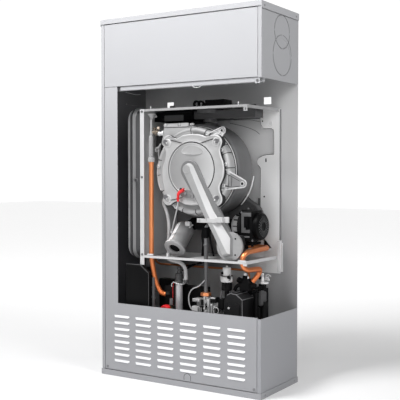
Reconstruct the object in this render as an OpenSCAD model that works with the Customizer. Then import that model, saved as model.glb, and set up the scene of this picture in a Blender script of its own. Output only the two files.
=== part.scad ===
// Combination gas boiler in a recessed sheet-metal cabinet, shown as a cutaway:
// a window is cut through the lower cover, the right front flange and the right wall.
// Frame: origin at the middle of the base, +X to the right, +Y to the back, +Z up, millimetres.
// Inside the modules y is counted back from the cabinet's front plane; place() moves it home.

/* [Cabinet] */
// Width of the cabinet over the cap
cab_w = 600; // [590:1:620]
// Depth of the cabinet over the cap
cab_d = 250; // [250:1:260]
// Height of the cabinet
cab_h = 1170; // [1165:1:1200]
// Thickness of the cabinet sheet
sheet = 1.5; // [1:0.1:1.6]
// Thickness of the cap and tray sheet
cap_sheet = 1.2; // [1:0.1:1.3]
// Width of the front flanges of the side walls
flange_w = 12; // [10:0.5:12.5]

/* [Cutaway window] */
// Height of the lower edge of the window
window_low = 241.5; // [240:0.5:246]
// Height of the upper edge of the window
window_high = 948.5; // [944:0.5:949]
// Width of the cover strip left standing beside the window
strip_w = 52.5; // [48:0.5:56]

/* [Louvres] */
// Number of louvre columns
louvre_cols = 6; // [4:1:6]
// Number of louvre rows
louvre_rows = 8; // [5:1:8]
// Length of one louvre
louvre_len = 61.5; // [50:0.5:64]
// Height of one louvre
louvre_h = 9; // [7:0.5:10]

/* [Heat exchanger] */
// Radius of the cast front shell
shell_r = 146; // [140:1:147]
// Radius of the dark rear drum
drum_r = 153; // [150:1:154]
// Radius of the round burner door
door_r = 117; // [112:1:118]

/* [Pipes] */
// Outer radius of the heating flow pipe
flow_r = 8; // [7.5:0.5:8]
// Outer radius of the heating return pipe
return_r = 9; // [8:0.5:9]
// Radius of the flue bore in the collar
flue_r = 40; // [38:1:41]

/* [Hidden] */
$fn = 64;

// cabinet body inside the cap and tray
fit = 0.3;                              // gap between the walls and the skirts
body_x = cab_w / 2 - cap_sheet - fit;   // outer face of the side walls
body_front = 2.5;                       // front face of the flanges and covers
body_back = cab_d - cap_sheet - fit;    // rear face of the back panel
cap_low = cab_h - 21;                   // lower edge of the side skirts
cap_front_low = cab_h - 15;             // lower edge of the front skirt
tray_h = 18;                            // height of the tray skirt
tray_floor = 1.5;                       // thickness of the tray floor
cover_x = body_x - flange_w - 1.5;      // half width of the covers
cover_return = 7;                       // depth of the folded edges of the covers
cover_low = tray_h + 1.5;               // lower edge of the lower cover
cover_split = window_high + 1.5;        // lower edge of the upper cover
hook_x = 190;                           // hanging holes from the middle
hook_z = 902;
hook_w = 27;
hook_h = 23;
wall_hole_x = 250;                      // wall-fixing holes from the middle
wall_hole_z = [90, 1080];
wall_hole_r = 4.5;
knockouts = [[132, 1098, 50], [133, 1020, 57]];   // depth, height and radius
louvre_x = -247;                        // left end of the first louvre
louvre_pitch_x = 86.3;
louvre_z = 197;                         // middle of the top row
louvre_pitch_z = 20.9;
cover_screw_x = 276;
cover_screw_z = 28;
rivets = [[19, 1158], [231, 1158], [29, 9], [225, 9]];   // depth and height on the side skirts

// boiler chassis
ch_l = -163;
ch_r = 235;
ch_front = 32;
ch_back = 243;
ch_top = 874.5;
ch_low = 393.5;
lip = 7.5;                              // height of the front lips
ch_flange = 16;                         // width of the left flange
flange_foot = 370;                      // lower end of the left flange
plate_foot = 345;                       // lower end of the back plate
flue_at = [36, 135];                    // centre of the flue on the roof

// heat exchanger, with its axis along +Y
hx = [25, 680];                         // x and z of the axis
door_front = 47;
door_back = 58;
shell_front = 58;
shell_back = 98;
drum_back = 205;
ear = [96, 88];                         // bolt centres of the door from the axis
ear_r = 17;
spark_at = [0, 613];
burner_r = 34;

// fan, with its axis along +X
fan = [146, 502];                       // depth and height of the axis
volute_x = [136, 170];
volute_r = 52;
motor_x = 222;
shaft_r = 4;
run_gap = 0.06;                         // radial running clearance of shafts

// mixing duct
duct_top = [14, 678];
duct_foot = [165, 455];
duct_flange = [170, 445];

// pump, with its axis along +Y
pump = [150, 240];                      // x and z of the axis
pump_bore_r = 5;

// lower group
gas_at = [55, 88];                      // x and depth of the gas pipe
trap_at = [-42, 80];
vent_at = [119, 110];
valve_at = [-78, 227];                  // x and z of the safety valve
stem_at = [239, 139];                   // x and depth of the diverter stem
stem_r = 3;
knob_x = -171;
knob_z = [200, 150];                    // heights of the two temperature knobs
lever_z = 92;
gas_cock_x = 55;
cold_cock_x = -75;
stub_x = [-135, 10, 125];               // hot water, heating flow and heating return
stub_depth = 130;
stub_r = 7.5;

// routes, each point as x, depth, height
flow_route = [[-125, 45, 706], [-125, 45, 388], [-121, 62, 338], [-118, 76, 298], [-112, 96, 276], [-98.05, 96, 276]];
return_route = [[120, 207, 433], [210, 207, 431], [219, 198, 430], [217, 58, 425], [216, 46, 414],
                [216, 46, 382], [217, 56, 372], [217, 138, 372], [215, 144, 364], [207, 122, 342]];
drain_route = [[-107, 110, 593], [-112, 94, 583], [-97, 91, 540], [-90, 93, 500], [-94, 95, 453], [-94, 95, 400]];
trap_route = [[-78, 78, 386], [-42, 74, 384], [-22, 72, 375], [-12, 72, 358], [-12, 72, 326]];
line_route = [[-212, 185, 381.2], [-212, 188, 364], [-203, 200, 354], [140, 200, 354], [150, 200, 344], [150, 200, 284.3]];
lead_ends = [[-20, 36, 574], [-60, 63, 479]];

// ---- shared shapes ----

module place() { translate([0, -cab_d / 2, 0]) children(); }

// a box from its low corner to its high corner
module box(low, high) { translate(low) cube(high - low); }

// rods along one axis, and between any two points
module rod_x(x0, x1, y, z, r) { translate([x0, y, z]) rotate([0, 90, 0]) cylinder(r = r, h = x1 - x0); }
module rod_y(y0, y1, x, z, r) { translate([x, y0, z]) rotate([-90, 0, 0]) cylinder(r = r, h = y1 - y0); }
module rod_z(z0, z1, x, y, r) { translate([x, y, z0]) cylinder(r = r, h = z1 - z0); }
module rod(a, b, r) {
  v = b - a;
  len = norm(v);
  translate(a) rotate([0, acos(v[2] / len), atan2(v[1], v[0])]) cylinder(r = r, h = len);
}

// outlines drawn in (depth, height), (x, height) and (x, depth)
module prism_x(x0, x1) { translate([x0, 0, 0]) rotate([90, 0, 90]) linear_extrude(x1 - x0) children(); }
module prism_y(y0, y1) { translate([0, y1, 0]) rotate([90, 0, 0]) linear_extrude(y1 - y0) children(); }

module round_rect(a0, a1, b0, b1, r) {
  translate([a0 + r, b0]) square([a1 - a0 - 2 * r, b1 - b0]);
  translate([a0, b0 + r]) square([a1 - a0, b1 - b0 - 2 * r]);
  for (a = [a0 + r, a1 - r], b = [b0 + r, b1 - r]) translate([a, b]) circle(r = r);
}

module pipe_run(points, r) {
  last = len(points) - 1;
  for (i = [0 : last - 1]) rod(points[i], points[i + 1], r);
  for (i = [1 : last - 1]) translate(points[i]) sphere(r = r * 1.005);
}

// ---- cabinet ----

module back_panel() {
  color("#9a9b9f") place() difference() {
    box([-body_x, body_back - sheet, tray_floor], [body_x, body_back, cab_h - cap_sheet]);
    for (side = [-1, 1]) {
      box([side * hook_x - hook_w / 2, body_back - 5, hook_z - hook_h / 2],
          [side * hook_x + hook_w / 2, body_back + 5, hook_z + hook_h / 2]);
      for (z = wall_hole_z) rod_y(body_back - 5, body_back + 5, side * wall_hole_x, z, wall_hole_r);
    }
  }
}

// a side wall with its front flange, between two heights; side is -1 for left
module wall(side, z0, z1) {
  outer = side * body_x;
  inner = side * (body_x - sheet);
  edge = side * (body_x - flange_w);
  box([min(outer, inner), body_front + sheet, z0], [max(outer, inner), body_back - sheet, z1]);
  box([min(outer, edge), body_front, z0], [max(outer, edge), body_front + sheet, z1]);
}

module left_wall() {
  rib = [135, 220];
  color("#8e8f93") place() {
    wall(-1, tray_floor, cab_h - cap_sheet);
    for (z = [903, 944.5]) box([-body_x + sheet, rib[0], z], [-body_x + 2 * sheet, rib[1], z + 3]);
  }
}

module right_wall_upper() {
  color("#96979b") place() difference() {
    wall(1, window_high - 1, cab_h - cap_sheet);
    for (k = knockouts) difference() {
      rod_x(body_x - 0.5, body_x + 1, k[0], k[1], k[2] + 0.6);
      rod_x(body_x - 1, body_x + 2, k[0], k[1], k[2] - 0.6);
    }
  }
}

module right_wall_lower() {
  color("#8a8b8f") place() wall(1, tray_floor, window_low - 3);
}

module top_cap() {
  half = cab_w / 2;
  color("#c8c9cd") place() difference() {
    box([-half, 0, cap_low], [half, cab_d, cab_h]);
    box([-half + cap_sheet, cap_sheet, cap_low - 1], [half - cap_sheet, cab_d - cap_sheet, cab_h - cap_sheet]);
    box([-half + cap_sheet, -1, cap_low - 1], [half - cap_sheet, cap_sheet + 1, cap_front_low]);
    for (r = rivets) if (r[1] > cap_low) rod_x(-half - 1, half + 1, r[0], r[1], 3);
  }
}

module bottom_tray() {
  half = cab_w / 2;
  color("#a9aaae") place() difference() {
    box([-half, 0, 0], [half, cab_d, tray_h]);
    box([-half + cap_sheet, cap_sheet, tray_floor], [half - cap_sheet, cab_d - cap_sheet, tray_h + 1]);
    for (r = rivets) if (r[1] < tray_h) rod_x(-half - 1, half + 1, r[0], r[1], 3);
    for (x = stub_x) rod_z(-1, tray_floor + 1, x, stub_depth, stub_r + 4);
    rod_z(-1, tray_floor + 1, gas_cock_x, gas_at[1], stub_r + 4);
    rod_z(-1, tray_floor + 1, cold_cock_x, gas_at[1], stub_r + 4);
  }
}

module cross_rail() {
  left = -222;
  right = 284;
  low = window_high - 12.5;
  color("#b4b5b9") place() {
    box([left, 6, low], [right, 7.5, window_high - 0.5]);
    box([left, 7.5, low], [right, 24, low + sheet]);
    box([-body_x + sheet, 24, low], [body_x - sheet, 25.5, window_high - 0.5]);
    difference() {
      box([right - 8, 4.2, low - 5], [right + 8, 6, window_high - 2]);
      rod_y(3, 7, right, window_high - 9, 2);
    }
  }
}

module upper_cover() {
  high = cap_front_low - 2.5;
  color("#d4d5d9") place() difference() {
    box([-cover_x, body_front, cover_split], [cover_x, body_front + cover_return, high]);
    box([-cover_x + sheet, body_front + sheet, cover_split + sheet],
        [cover_x - sheet, body_front + cover_return + 1, high - sheet]);
  }
}

// one louvre: a lance that leans out of the plate above a slot
module louvre_lance(x, z) {
  prism_x(x, x + louvre_len) polygon([[body_front, z + louvre_h / 2], [0.3, z - louvre_h / 2 + 3.4],
                                      [0.3, z - louvre_h / 2 + 1.9], [body_front, z + louvre_h / 2 - 2.6]]);
}

module lower_cover() {
  window_x = -cover_x + strip_w;
  arch = [40, 32, 13];
  color("#b9babe") place() {
    difference() {
      box([-cover_x, body_front, cover_low], [cover_x, body_front + cover_return, window_high]);
      box([-cover_x + sheet, body_front + sheet, cover_low + sheet],
          [cover_x - sheet, body_front + cover_return + 1, window_high + 1]);
      box([window_x, body_front - 1, window_low], [cover_x + 1, body_front + cover_return + 1, window_high + 1]);
      for (col = [0 : louvre_cols - 1], row = [0 : louvre_rows - 1])
        translate([col * louvre_pitch_x, 0, -row * louvre_pitch_z])
          box([louvre_x + 2, body_front - 1, louvre_z - 3.6], [louvre_x + louvre_len - 2, body_front + sheet + 1, louvre_z + 0.8]);
      prism_y(body_front - 1, body_front + 0.5) difference() {
        union() {
          translate([arch[0], arch[1]]) circle(r = arch[2] + 0.6);
          translate([arch[0] - arch[2] - 0.6, cover_low + 2]) square([2 * arch[2] + 1.2, arch[1] - cover_low - 2]);
        }
        translate([arch[0], arch[1]]) circle(r = arch[2] - 0.6);
        translate([arch[0] - arch[2] + 0.6, cover_low]) square([2 * arch[2] - 1.2, arch[1] - cover_low]);
      }
      for (side = [-1, 1]) rod_y(0, body_front + 3, side * cover_screw_x, cover_screw_z, 2.5);
    }
    for (col = [0 : louvre_cols - 1], row = [0 : louvre_rows - 1])
      translate([col * louvre_pitch_x, 0, -row * louvre_pitch_z]) louvre_lance(louvre_x, louvre_z);
  }
}

module lower_cover_screws() {
  color("#6d6e72") place() for (side = [-1, 1]) {
    rod_y(1, body_front, side * cover_screw_x, cover_screw_z, 4);
    rod_y(body_front, body_front + 6, side * cover_screw_x, cover_screw_z, 2.45);
  }
}

// every fixed fastener: cap and tray rivets, rail screw, chassis screws, door nuts
module screws() {
  half = cab_w / 2;
  color("#77787c") place() {
    for (r = rivets) {
      rod_x(half - cap_sheet, half - 0.1, r[0], r[1], 2.95);
      rod_x(-half + 0.1, -half + cap_sheet, r[0], r[1], 2.95);
    }
    rod_y(2.6, 4.2, 284, window_high - 9, 4);
    for (z = [867, 655, 404]) rod_y(ch_front - 1.6, ch_front, ch_l + ch_flange / 2, z, 4);
    for (sx = [-1, 1], sz = [-1, 1])
      rod_y(door_front - 6, door_front, hx[0] + sx * ear[0], hx[1] + sz * ear[1], 7);
  }
}

// ---- boiler chassis ----

module chassis_left_panel() {
  color("#d9dadc") place() {
    box([ch_l, ch_front + sheet, ch_low], [ch_l + sheet, ch_back, ch_top]);
    box([ch_l, ch_front, flange_foot], [ch_l + ch_flange, ch_front + sheet, ch_top]);
    for (z = [440, 820]) box([-198, 150, z], [ch_l, 170, z + 2]);
  }
}

module chassis_roof() {
  color("#e2e3e5") place() difference() {
    union() {
      box([ch_l + sheet, ch_front + sheet, ch_top - sheet], [ch_r, ch_back, ch_top]);
      box([ch_l + ch_flange, ch_front, ch_top - lip], [ch_r, ch_front + sheet, ch_top]);
      box([ch_r - sheet, ch_front + sheet, ch_top - 10], [ch_r, ch_back, ch_top]);
      box([ch_r - 13, ch_front, ch_top - 20], [ch_r, ch_front + sheet, ch_top - lip]);
    }
    rod_z(ch_top - 5, ch_top + 5, flue_at[0], flue_at[1], flue_r);
    box([ch_r - 8, ch_front - 1, ch_top - 17], [ch_r - 5, ch_front + 3, ch_top - 10]);
  }
}

module chassis_floor() {
  color("#dedfe1") place() difference() {
    union() {
      box([ch_l + sheet, ch_front + sheet, ch_low], [ch_r, ch_back, ch_low + sheet]);
      box([ch_l + ch_flange, ch_front, ch_low], [ch_r, ch_front + sheet, ch_low + lip]);
      box([ch_r - sheet, ch_front + sheet, ch_low], [ch_r, ch_back, ch_low + 10]);
      box([ch_r - 14, ch_front, ch_low - 5], [ch_r, ch_front + sheet, ch_low]);
    }
    rod_z(ch_low - 1, ch_low + 3, -125, 45, flow_r + 1.5);
    rod_z(ch_low - 1, ch_low + 3, 216, 46, return_r + 1.5);
    rod_z(ch_low - 1, ch_low + 3, gas_at[0], gas_at[1], 9);
  }
}

module chassis_back_plate() {
  color("#c9cacd") place() difference() {
    union() {
      box([ch_l, ch_back, plate_foot], [ch_r + 5, ch_back + sheet, ch_top]);
      for (x = [-150, 220], z = [352, 858]) box([x, ch_back + sheet, z], [x + 12, body_back - sheet, z + 12]);
      box([ch_r + 5, ch_back, plate_foot + 6], [ch_r + 14, ch_back + sheet, plate_foot + 99]);
    }
    prism_y(ch_back - 1, ch_back + sheet + 1) {
      translate([-115, 540]) square([284, 304]);
      translate([168, 727]) square([50, 84]);
      translate([169, 709]) circle(r = 18);
    }
  }
}

module flue_collar() {
  at = [flue_at[0], flue_at[1]];
  color("#1d1d1f") place() difference() {
    union() {
      rod_z(ch_top, ch_top + 3, at[0], at[1], 60);
      rod_z(ch_top, ch_top + 30, at[0], at[1], 51);
    }
    rod_z(ch_top - 1, ch_top + 31, at[0], at[1], flue_r);
  }
}

// black flue box at the upper left, and the dark channel that leads to the collar
module flue_ducts() {
  roof = ch_top - sheet;
  color("#3a3a3c") place() {
    difference() {
      box([-158, 108, 838], [-12, 200, 868]);
      box([-154, 112, 842], [-16, 196, 864]);
    }
    difference() {
      union() {
        box([-10, 118, 842], [216, 168, 867]);
        rod_z(860, roof, flue_at[0], flue_at[1] + 8, 44);
        rod_z(800, 842, flue_at[0], flue_at[1] + 8, 22);
      }
      box([-6, 122, 846], [212, 164, 863]);
      rod_z(799, 847, flue_at[0], flue_at[1] + 8, 18);
      rod_y(90, 210, hx[0], hx[1], drum_r);
      rod_z(862, roof + 1, flue_at[0], flue_at[1] + 8, 34);
    }
  }
}

// ---- heat exchanger and burner ----

module hx_ring(profile) {
  translate([hx[0], 0, hx[1]]) rotate([-90, 0, 0]) rotate_extrude($fn = 96) polygon(profile);
}

module hx_lug(x, z, r, from, to) {
  prism_y(84, 92) difference() {
    union() {
      translate([x, z]) circle(r = r);
      polygon([from, to, [x, z]]);
    }
    translate([x, z]) circle(r = 3.5);
    translate([hx[0], hx[1]]) circle(r = shell_r - 3);
  }
}

module hx_shell() {
  seam = 155;
  color("#b9babc") place() {
    hx_ring([[90, shell_front], [128, shell_front], [shell_r, 74], [shell_r, 92], [seam, 94], [seam, shell_back],
             [128, shell_back], [128, 66], [90, 66]]);
    prism_y(68, 92) difference() {
      polygon([[-99, 829], [40, 829], [40, 800], [-60, 700], [-112, 757], [-99, 790]]);
      translate([hx[0], hx[1]]) circle(r = shell_r - 3);
    }
    prism_y(68, 92) difference() {
      translate([-108, 800]) circle(r = 13);
      translate([-99, 760]) square([60, 69]);
    }
    hx_lug(117, 802, 14, [60, 805], [140, 760]);
    hx_lug(190, 636, 15, [150, 690], [135, 612]);
    hx_lug(-134, 743, 10, [-110, 760], [-116, 715]);
  }
}

module hx_drum() {
  wall_t = 8;
  color("#55565a") place() {
    hx_ring([[drum_r - wall_t, shell_back], [drum_r, shell_back], [drum_r, drum_back - 12], [drum_r - 12, drum_back],
             [0, drum_back], [0, drum_back - wall_t], [drum_r - wall_t, drum_back - wall_t]]);
    for (z = [600, 740]) {
      box([-145, drum_back - 6, z], [-60, drum_back, z + 20]);
      box([-145, drum_back, z], [-118, ch_back, z + 20]);
    }
  }
}

// stainless coil, as stacked rings
module hx_coil() {
  color("#c2c4c6") place() for (i = [0 : 5])
    translate([hx[0], 108 + i * 15, hx[1]]) rotate([-90, 0, 0]) rotate_extrude($fn = 96) translate([112, 0]) circle(r = 7, $fn = 24);
}

module burner_door() {
  color("#c4c5c7") place() difference() {
    prism_y(door_front, door_back) {
      translate(hx) circle(r = door_r, $fn = 96);
      for (sx = [-1, 1], sz = [-1, 1]) {
        translate(hx + [sx * ear[0], sz * ear[1]]) circle(r = ear_r);
        translate(hx) rotate(atan2(sz * ear[1], sx * ear[0])) translate([60, -ear_r]) square([norm(ear) - 60, 2 * ear_r]);
      }
    }
    hx_ring([[85.5, door_front - 1], [88, door_front - 1], [88, door_front + 2], [85.5, door_front + 2]]);
    rod_y(door_front - 1, door_back + 1, duct_top[0], duct_top[1], 16);
    rod_y(door_front - 1, door_back + 1, spark_at[0], spark_at[1], 5);
  }
}

module door_insulation() {
  color("#e8e4da") place() difference() {
    rod_y(door_back, door_back + 14, hx[0], hx[1], 84);
    rod_y(door_back - 1, door_back + 15, hx[0], hx[1], burner_r + 1);
    rod_y(door_back - 1, door_back + 15, spark_at[0], spark_at[1], 5);
  }
}

module burner() {
  color("#a9abad") place() difference() {
    rod_y(door_back, 165, hx[0], hx[1], burner_r);
    rod_y(door_back - 1, 163, hx[0], hx[1], burner_r - 1.5);
  }
}

module spark_electrode() {
  color("#f2f0e8") place() {
    rod_y(42.2, 84, spark_at[0], spark_at[1], 4.8);
    rod_y(84, 100, spark_at[0], spark_at[1], 1.5);
  }
}

module spark_cap() {
  elbow = [-17, 36, 607];
  color("#d9302c") place() {
    rod([4, 36, spark_at[1]], elbow, 6);
    translate(elbow) sphere(r = 6.1);
    rod(elbow, [-20, 36, 576], 6);
  }
}

module spark_lead() {
  color("#b9b9bd") place() {
    rod(lead_ends[0], lead_ends[1], 2.6);
    rod(lead_ends[1], lead_ends[1] + [-1, 1, -6], 3.6);
  }
}

// ---- gas and air ----

module mixing_duct() {
  color("#d6d7d8") place() {
    difference() {
      union() {
        hull() {
          rod_y(24, 45, duct_top[0], duct_top[1], 21, $fn = 32);
          rod_y(24, 45, duct_foot[0], duct_foot[1], 27, $fn = 32);
        }
        rod_y(42, door_front, duct_top[0], duct_top[1], 26);
        rod_y(45, 53, duct_flange[0], duct_flange[1], 41);
      }
      hull() {
        rod_y(27, 42, duct_top[0], duct_top[1], 18, $fn = 32);
        rod_y(27, 42, duct_foot[0], duct_foot[1], 24, $fn = 32);
      }
      rod_y(30, door_front + 1, duct_top[0], duct_top[1], 15);
      rod_y(30, 54, duct_flange[0], duct_flange[1], 20);
    }
    difference() {
      rod_y(53, 60, duct_flange[0], duct_flange[1], 24);
      rod_y(52, 61, duct_flange[0], duct_flange[1], 20);
    }
  }
}

module fan_volute() {
  left = volute_x[0];
  right = volute_x[1];
  color("#b4b5b7") place() difference() {
    union() {
      rod_x(left, right, fan[0], fan[1], volute_r);
      box([132, 60, 418], [196, 97, 478]);
      box([left, 90, 450], [right, fan[0], 478]);
      rod_x(-12, left, fan[0], fan[1], 18);
      rod_x(100, left, fan[0], fan[1], 28);
    }
    rod_x(left + 3, right - 3, fan[0], fan[1], volute_r - 4);
    rod_y(59, 90, duct_flange[0], duct_flange[1], 20);
    box([left + 3, 84, 454], [right - 3, fan[0], 474]);
    rod_x(-13, left + 4, fan[0], fan[1], 14);
    rod_x(right - 4, right + 1, fan[0], fan[1], shaft_r + 1);
  }
}

module fan_impeller() {
  left = volute_x[0] + 7;
  right = volute_x[1] - 7;
  color("#3b3b3d") place() {
    rod_x(right - 3, right, fan[0], fan[1], 42);
    rod_x(left, right, fan[0], fan[1], 10);
    rod_x(right, motor_x - 22, fan[0], fan[1], shaft_r);
    for (i = [0 : 11]) translate([0, fan[0], fan[1]]) rotate([i * 30, 0, 0]) box([left, 12, -1], [right - 1, 41, 1]);
  }
}

module fan_motor() {
  color("#1a1a1b") place() {
    difference() {
      union() {
        prism_x(volute_x[1], motor_x) round_rect(102, 188, 454, 552, 12);
        rod_x(motor_x, motor_x + 8, fan[0] - 2, fan[1], 41);
      }
      rod_x(volute_x[1] - 1, motor_x - 20, fan[0], fan[1], shaft_r + run_gap);
      box([178, 100, 486], [214, 106, 536]);
      for (i = [0 : 7]) translate([motor_x + 5, fan[0] - 2, fan[1]]) rotate([i * 22.5, 0, 0]) box([0, -36, -1.2], [4, 36, 1.2]);
    }
  }
}

module intake_silencer() {
  tilt = 46.6;
  elbow = [-34, fan[0], fan[1]];
  color("#6b6c6e") place() {
    translate([-49, 62, 424]) rotate([-tilt, 0, 0]) difference() {
      union() {
        cylinder(r = 34, h = 7);
        cylinder(r = 31, h = 97);
      }
      translate([0, 0, -1]) cylinder(r = 18, h = 70);
    }
    rod([-49, 128, 486], elbow, 14);
    translate(elbow) sphere(r = 14.1);
    rod_x(elbow[0], -12.3, fan[0], fan[1], 14);
  }
}

module gas_pipe() {
  reach = fan[0] - 18.2;
  color("#8b8c8e") place() {
    rod_z(284, 502, gas_at[0], gas_at[1], 6.8);
    translate([gas_at[0], gas_at[1], 502]) sphere(r = 6.85);
    rod_y(gas_at[1], reach, gas_at[0], 502, 6.8);
    difference() {
      rod_z(284, 297, gas_at[0], gas_at[1], 15, $fn = 6);
      rod_z(283, 298, gas_at[0], gas_at[1], 7);
    }
  }
}

module gas_valve() {
  color("#b1b2b4") place() {
    box([24, 72, 196], [90, 118, 268]);
    rod_z(268, 284, gas_at[0], gas_at[1], 13);
    box([14, 76, 252], [24, 112, 272]);
    rod_y(52, 72, 40, 244, 15);
    rod_y(58, 72, 74, 226, 11);
    rod_z(150, 196, gas_at[0], gas_at[1], 10);
  }
}

// ---- expansion vessel between the left wall and the chassis ----

module vessel_shell(x0, x1, open_low) {
  wall_t = 2;
  difference() {
    prism_x(x0, x1) round_rect(72, 232, 382, 886, 36);
    prism_x(open_low ? x0 - 1 : x0 + wall_t, open_low ? x1 - wall_t : x1 + 1) round_rect(74, 230, 384, 884, 34);
  }
}

module vessel_shells() {
  color("#95969a") place() {
    vessel_shell(-250, -226, false);
    vessel_shell(-224, -198, true);
  }
}

module vessel_diaphragm() { color("#2b2b2c") place() prism_x(-226, -224) round_rect(72, 232, 382, 886, 36); }

// ---- pipes and hoses ----

module vent_tube() {
  at = [-131, 45];
  boss = [-108, 67.9, 800];
  tee = [at[0], at[1], 797];
  axis = (boss - tee) / norm(boss - tee);
  color("#a5a6a8") place() {
    rod_z(722.2, 843, at[0], at[1], 4.2);
    rod_z(786, 806, at[0], at[1], 7);
    rod(tee, boss - axis * 9, 5);
  }
}

module flow_pipe() {
  color("#c8693a") place() {
    pipe_run(flow_route, flow_r);
    rod_z(706, 722, -127, 45, 11, $fn = 6);
  }
}

module return_pipe() { color("#c8693a") place() pipe_run(return_route, return_r); }

module vessel_line() { color("#c8693a") place() pipe_run(line_route, 3.5); }

module hoses() {
  color("#9a9b9d") place() {
    pipe_run(drain_route, 5.5);
    pipe_run(trap_route, 6.2);
  }
}

module condensate_trap() {
  x = trap_at[0];
  y = trap_at[1];
  color("#b8b9bc") place() {
    rod_z(205, 314, x, y, 8.5);
    rod_z(314, 322, x, y, 14);
    rod_z(322, 342, x, y, 10);
    rod_z(342, 366, x, y, 6.5);
    rod_z(130, 205, x, y, 8.9);
    box([x, 66, 314], [-6, 78, 322]);
  }
}

// ---- pump and hydraulic group ----

module pump_head() {
  color("#1c1c1d") place() prism_y(80, 148)
    polygon([[130, 205], [190, 205], [190, 268], [170, 290], [130, 290]]);
}

module pump_body() {
  color("#3a3b3d") place() difference() {
    union() {
      rod_y(148, 180, pump[0], pump[1], 38);
      rod_y(180, 222, pump[0], pump[1], 44);
      rod_z(190, 200, pump[0], 201, 14);
    }
    rod_y(186, 216, pump[0], pump[1], 36);
    rod_y(158, 187, pump[0], pump[1], pump_bore_r + run_gap);
  }
}

module pump_rotor() {
  color("#d8d2c0") place() {
    rod_y(160, 190, pump[0], pump[1], pump_bore_r);
    rod_y(190, 194, pump[0], pump[1], 33);
    rod_y(194, 210, pump[0], pump[1], 9);
    for (i = [0 : 5]) translate([pump[0], 0, pump[1]]) rotate([0, i * 60, 0]) box([9.5, 193, -1.5], [32, 208, 1.5]);
    rod_y(208, 210, pump[0], pump[1], 33);
  }
}

module left_block() {
  color("#161617") place() difference() {
    union() {
      box([-98, 78, 120], [-54, 150, 300]);
      box([-54, 120, 125], [-50, 225, 215]);
      box([-98, 150, 120], [-54, 225, 215]);
      box([-50, 145, 138], [-20, plate_first - 16, 200]);
      box([-150, 110, 120], [-98, 150, 170]);
    }
    rod_x(-151, -130, 130, 145, 8);
  }
}

module right_block() {
  color("#161617") place() difference() {
    union() {
      box([105, 222.2, 110], [232, 240, 300]);
      box([196, 150, 150], [232, 222.2, 300]);
      box([197, 104, 215], [222, 150, 326]);
      box([222, 124, 150], [254, 154, 250]);
      box([105, 150, 110], [140, 222.2, 170]);
      box([72, 150, 138], [105, plate_first - 16, 200]);
      box([0, 118, 150], [140, 150, 170]);
    }
    rod_z(197.8, 235, stem_at[0], stem_at[1], 9);
    rod_z(234, 251, stem_at[0], stem_at[1], stem_r + run_gap);
  }
}

module air_vent() {
  color("#d7d7d9") place() {
    rod_z(180, 292, vent_at[0], vent_at[1], 7);
    box([vent_at[0] - 9, vent_at[1] - 9, 170], [vent_at[0] + 9, 130, 180]);
    rod_z(292, 326, vent_at[0], vent_at[1], 12);
    translate([vent_at[0], vent_at[1], 326]) cylinder(r1 = 16, r2 = 11, h = 20);
    rod_z(346, 370, vent_at[0], vent_at[1], 10);
    rod_z(370, 377, vent_at[0], vent_at[1], 2.5);
  }
}

module pressure_sensor() {
  x = 218;
  y = 178;
  color("#c9cacc") place() {
    rod_z(300, 322, x, y, 10);
    rod_z(322, 328, x, y, 14);
    rod_z(328, 344, x, y, 9);
    rod_z(344, 352, x, y, 4);
  }
}

module safety_valve() {
  color("#b9a25a") place() {
    rod_y(66, 78, valve_at[0], valve_at[1], 12);
    rod_y(60, 66, valve_at[0], valve_at[1], 6);
  }
}

module safety_knob() {
  color("#d2252a") place() difference() {
    union() {
      rod_y(44, 65.5, valve_at[0], valve_at[1], 16);
      for (i = [0 : 11]) rod_y(44, 64, valve_at[0] + 15.5 * cos(i * 30), valve_at[1] + 15.5 * sin(i * 30), 2);
    }
    rod_y(58, 70, valve_at[0], valve_at[1], 6 + run_gap);
  }
}

module diverter_motor() {
  color("#4b4c4e") place() difference() {
    prism_y(118, 149.8) round_rect(226, 252, 250, 306, 8);
    rod_z(249, 288, stem_at[0], stem_at[1], stem_r + run_gap);
  }
}

module diverter_stem() {
  color("#d0d2d4") place() {
    rod_z(202, 268, stem_at[0], stem_at[1], stem_r);
    rod_z(198, 205, stem_at[0], stem_at[1], 8.94);
  }
}

// brazed plate heat exchanger between the two hydraulic blocks
plates = 13;
plate_t = 1.8;
plate_pitch = 2.5;
plate_first = 181;

module plate_outline() { round_rect(-46, 98, 132, 206, 12); }

module plate_pack() {
  color("#c9b28a") place() for (i = [0 : plates - 1])
    prism_y(plate_first + 0.2 + i * plate_pitch, plate_first + 0.2 + plate_t + i * plate_pitch) plate_outline();
}

module end_plates() {
  back = plate_first + plates * plate_pitch;
  color("#c4c6c8") place() {
    prism_y(plate_first - 4, plate_first) plate_outline();
    prism_y(back, back + 3) plate_outline();
    for (x = [-30, 82], z = [148, 190]) rod_y(plate_first - 16, plate_first - 4, x, z, 9);
  }
}

// ---- controller ----

module controller_case() {
  left = -216;
  right = -126;
  low = 95;
  high = flange_foot - 0.5;
  color("#19191a") place() difference() {
    union() {
      prism_y(24, 42) polygon([[left, low], [right, low], [right, high - 25], [right - 33, high], [left, high]]);
      box([left + 6, 42, low + 5], [-156, 96, high - 10]);
    }
    for (z = knob_z) rod_y(20, 36, knob_x, z, 3 + run_gap);
  }
}

module temp_knob(z) {
  difference() {
    union() {
      rod_y(12, 23.6, knob_x, z, 14);
      rod_y(23.6, 34, knob_x, z, 3);
    }
    box([knob_x - 1, 11, z + 4], [knob_x + 1, 13, z + 13]);
  }
}

module heating_knob() { color("#d8d8da") place() temp_knob(knob_z[0]); }

module water_knob() { color("#d8d8da") place() temp_knob(knob_z[1]); }

// ---- connections at the base ----

module cock_body(x) {
  y = gas_at[1];
  rod_z(tray_floor + 0.5, 70, x, y, stub_r);
  difference() {
    rod_z(70, 114, x, y, 15);
    rod_y(y - 30, y - 12, x, lever_z, 4 + run_gap);
  }
}

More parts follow.
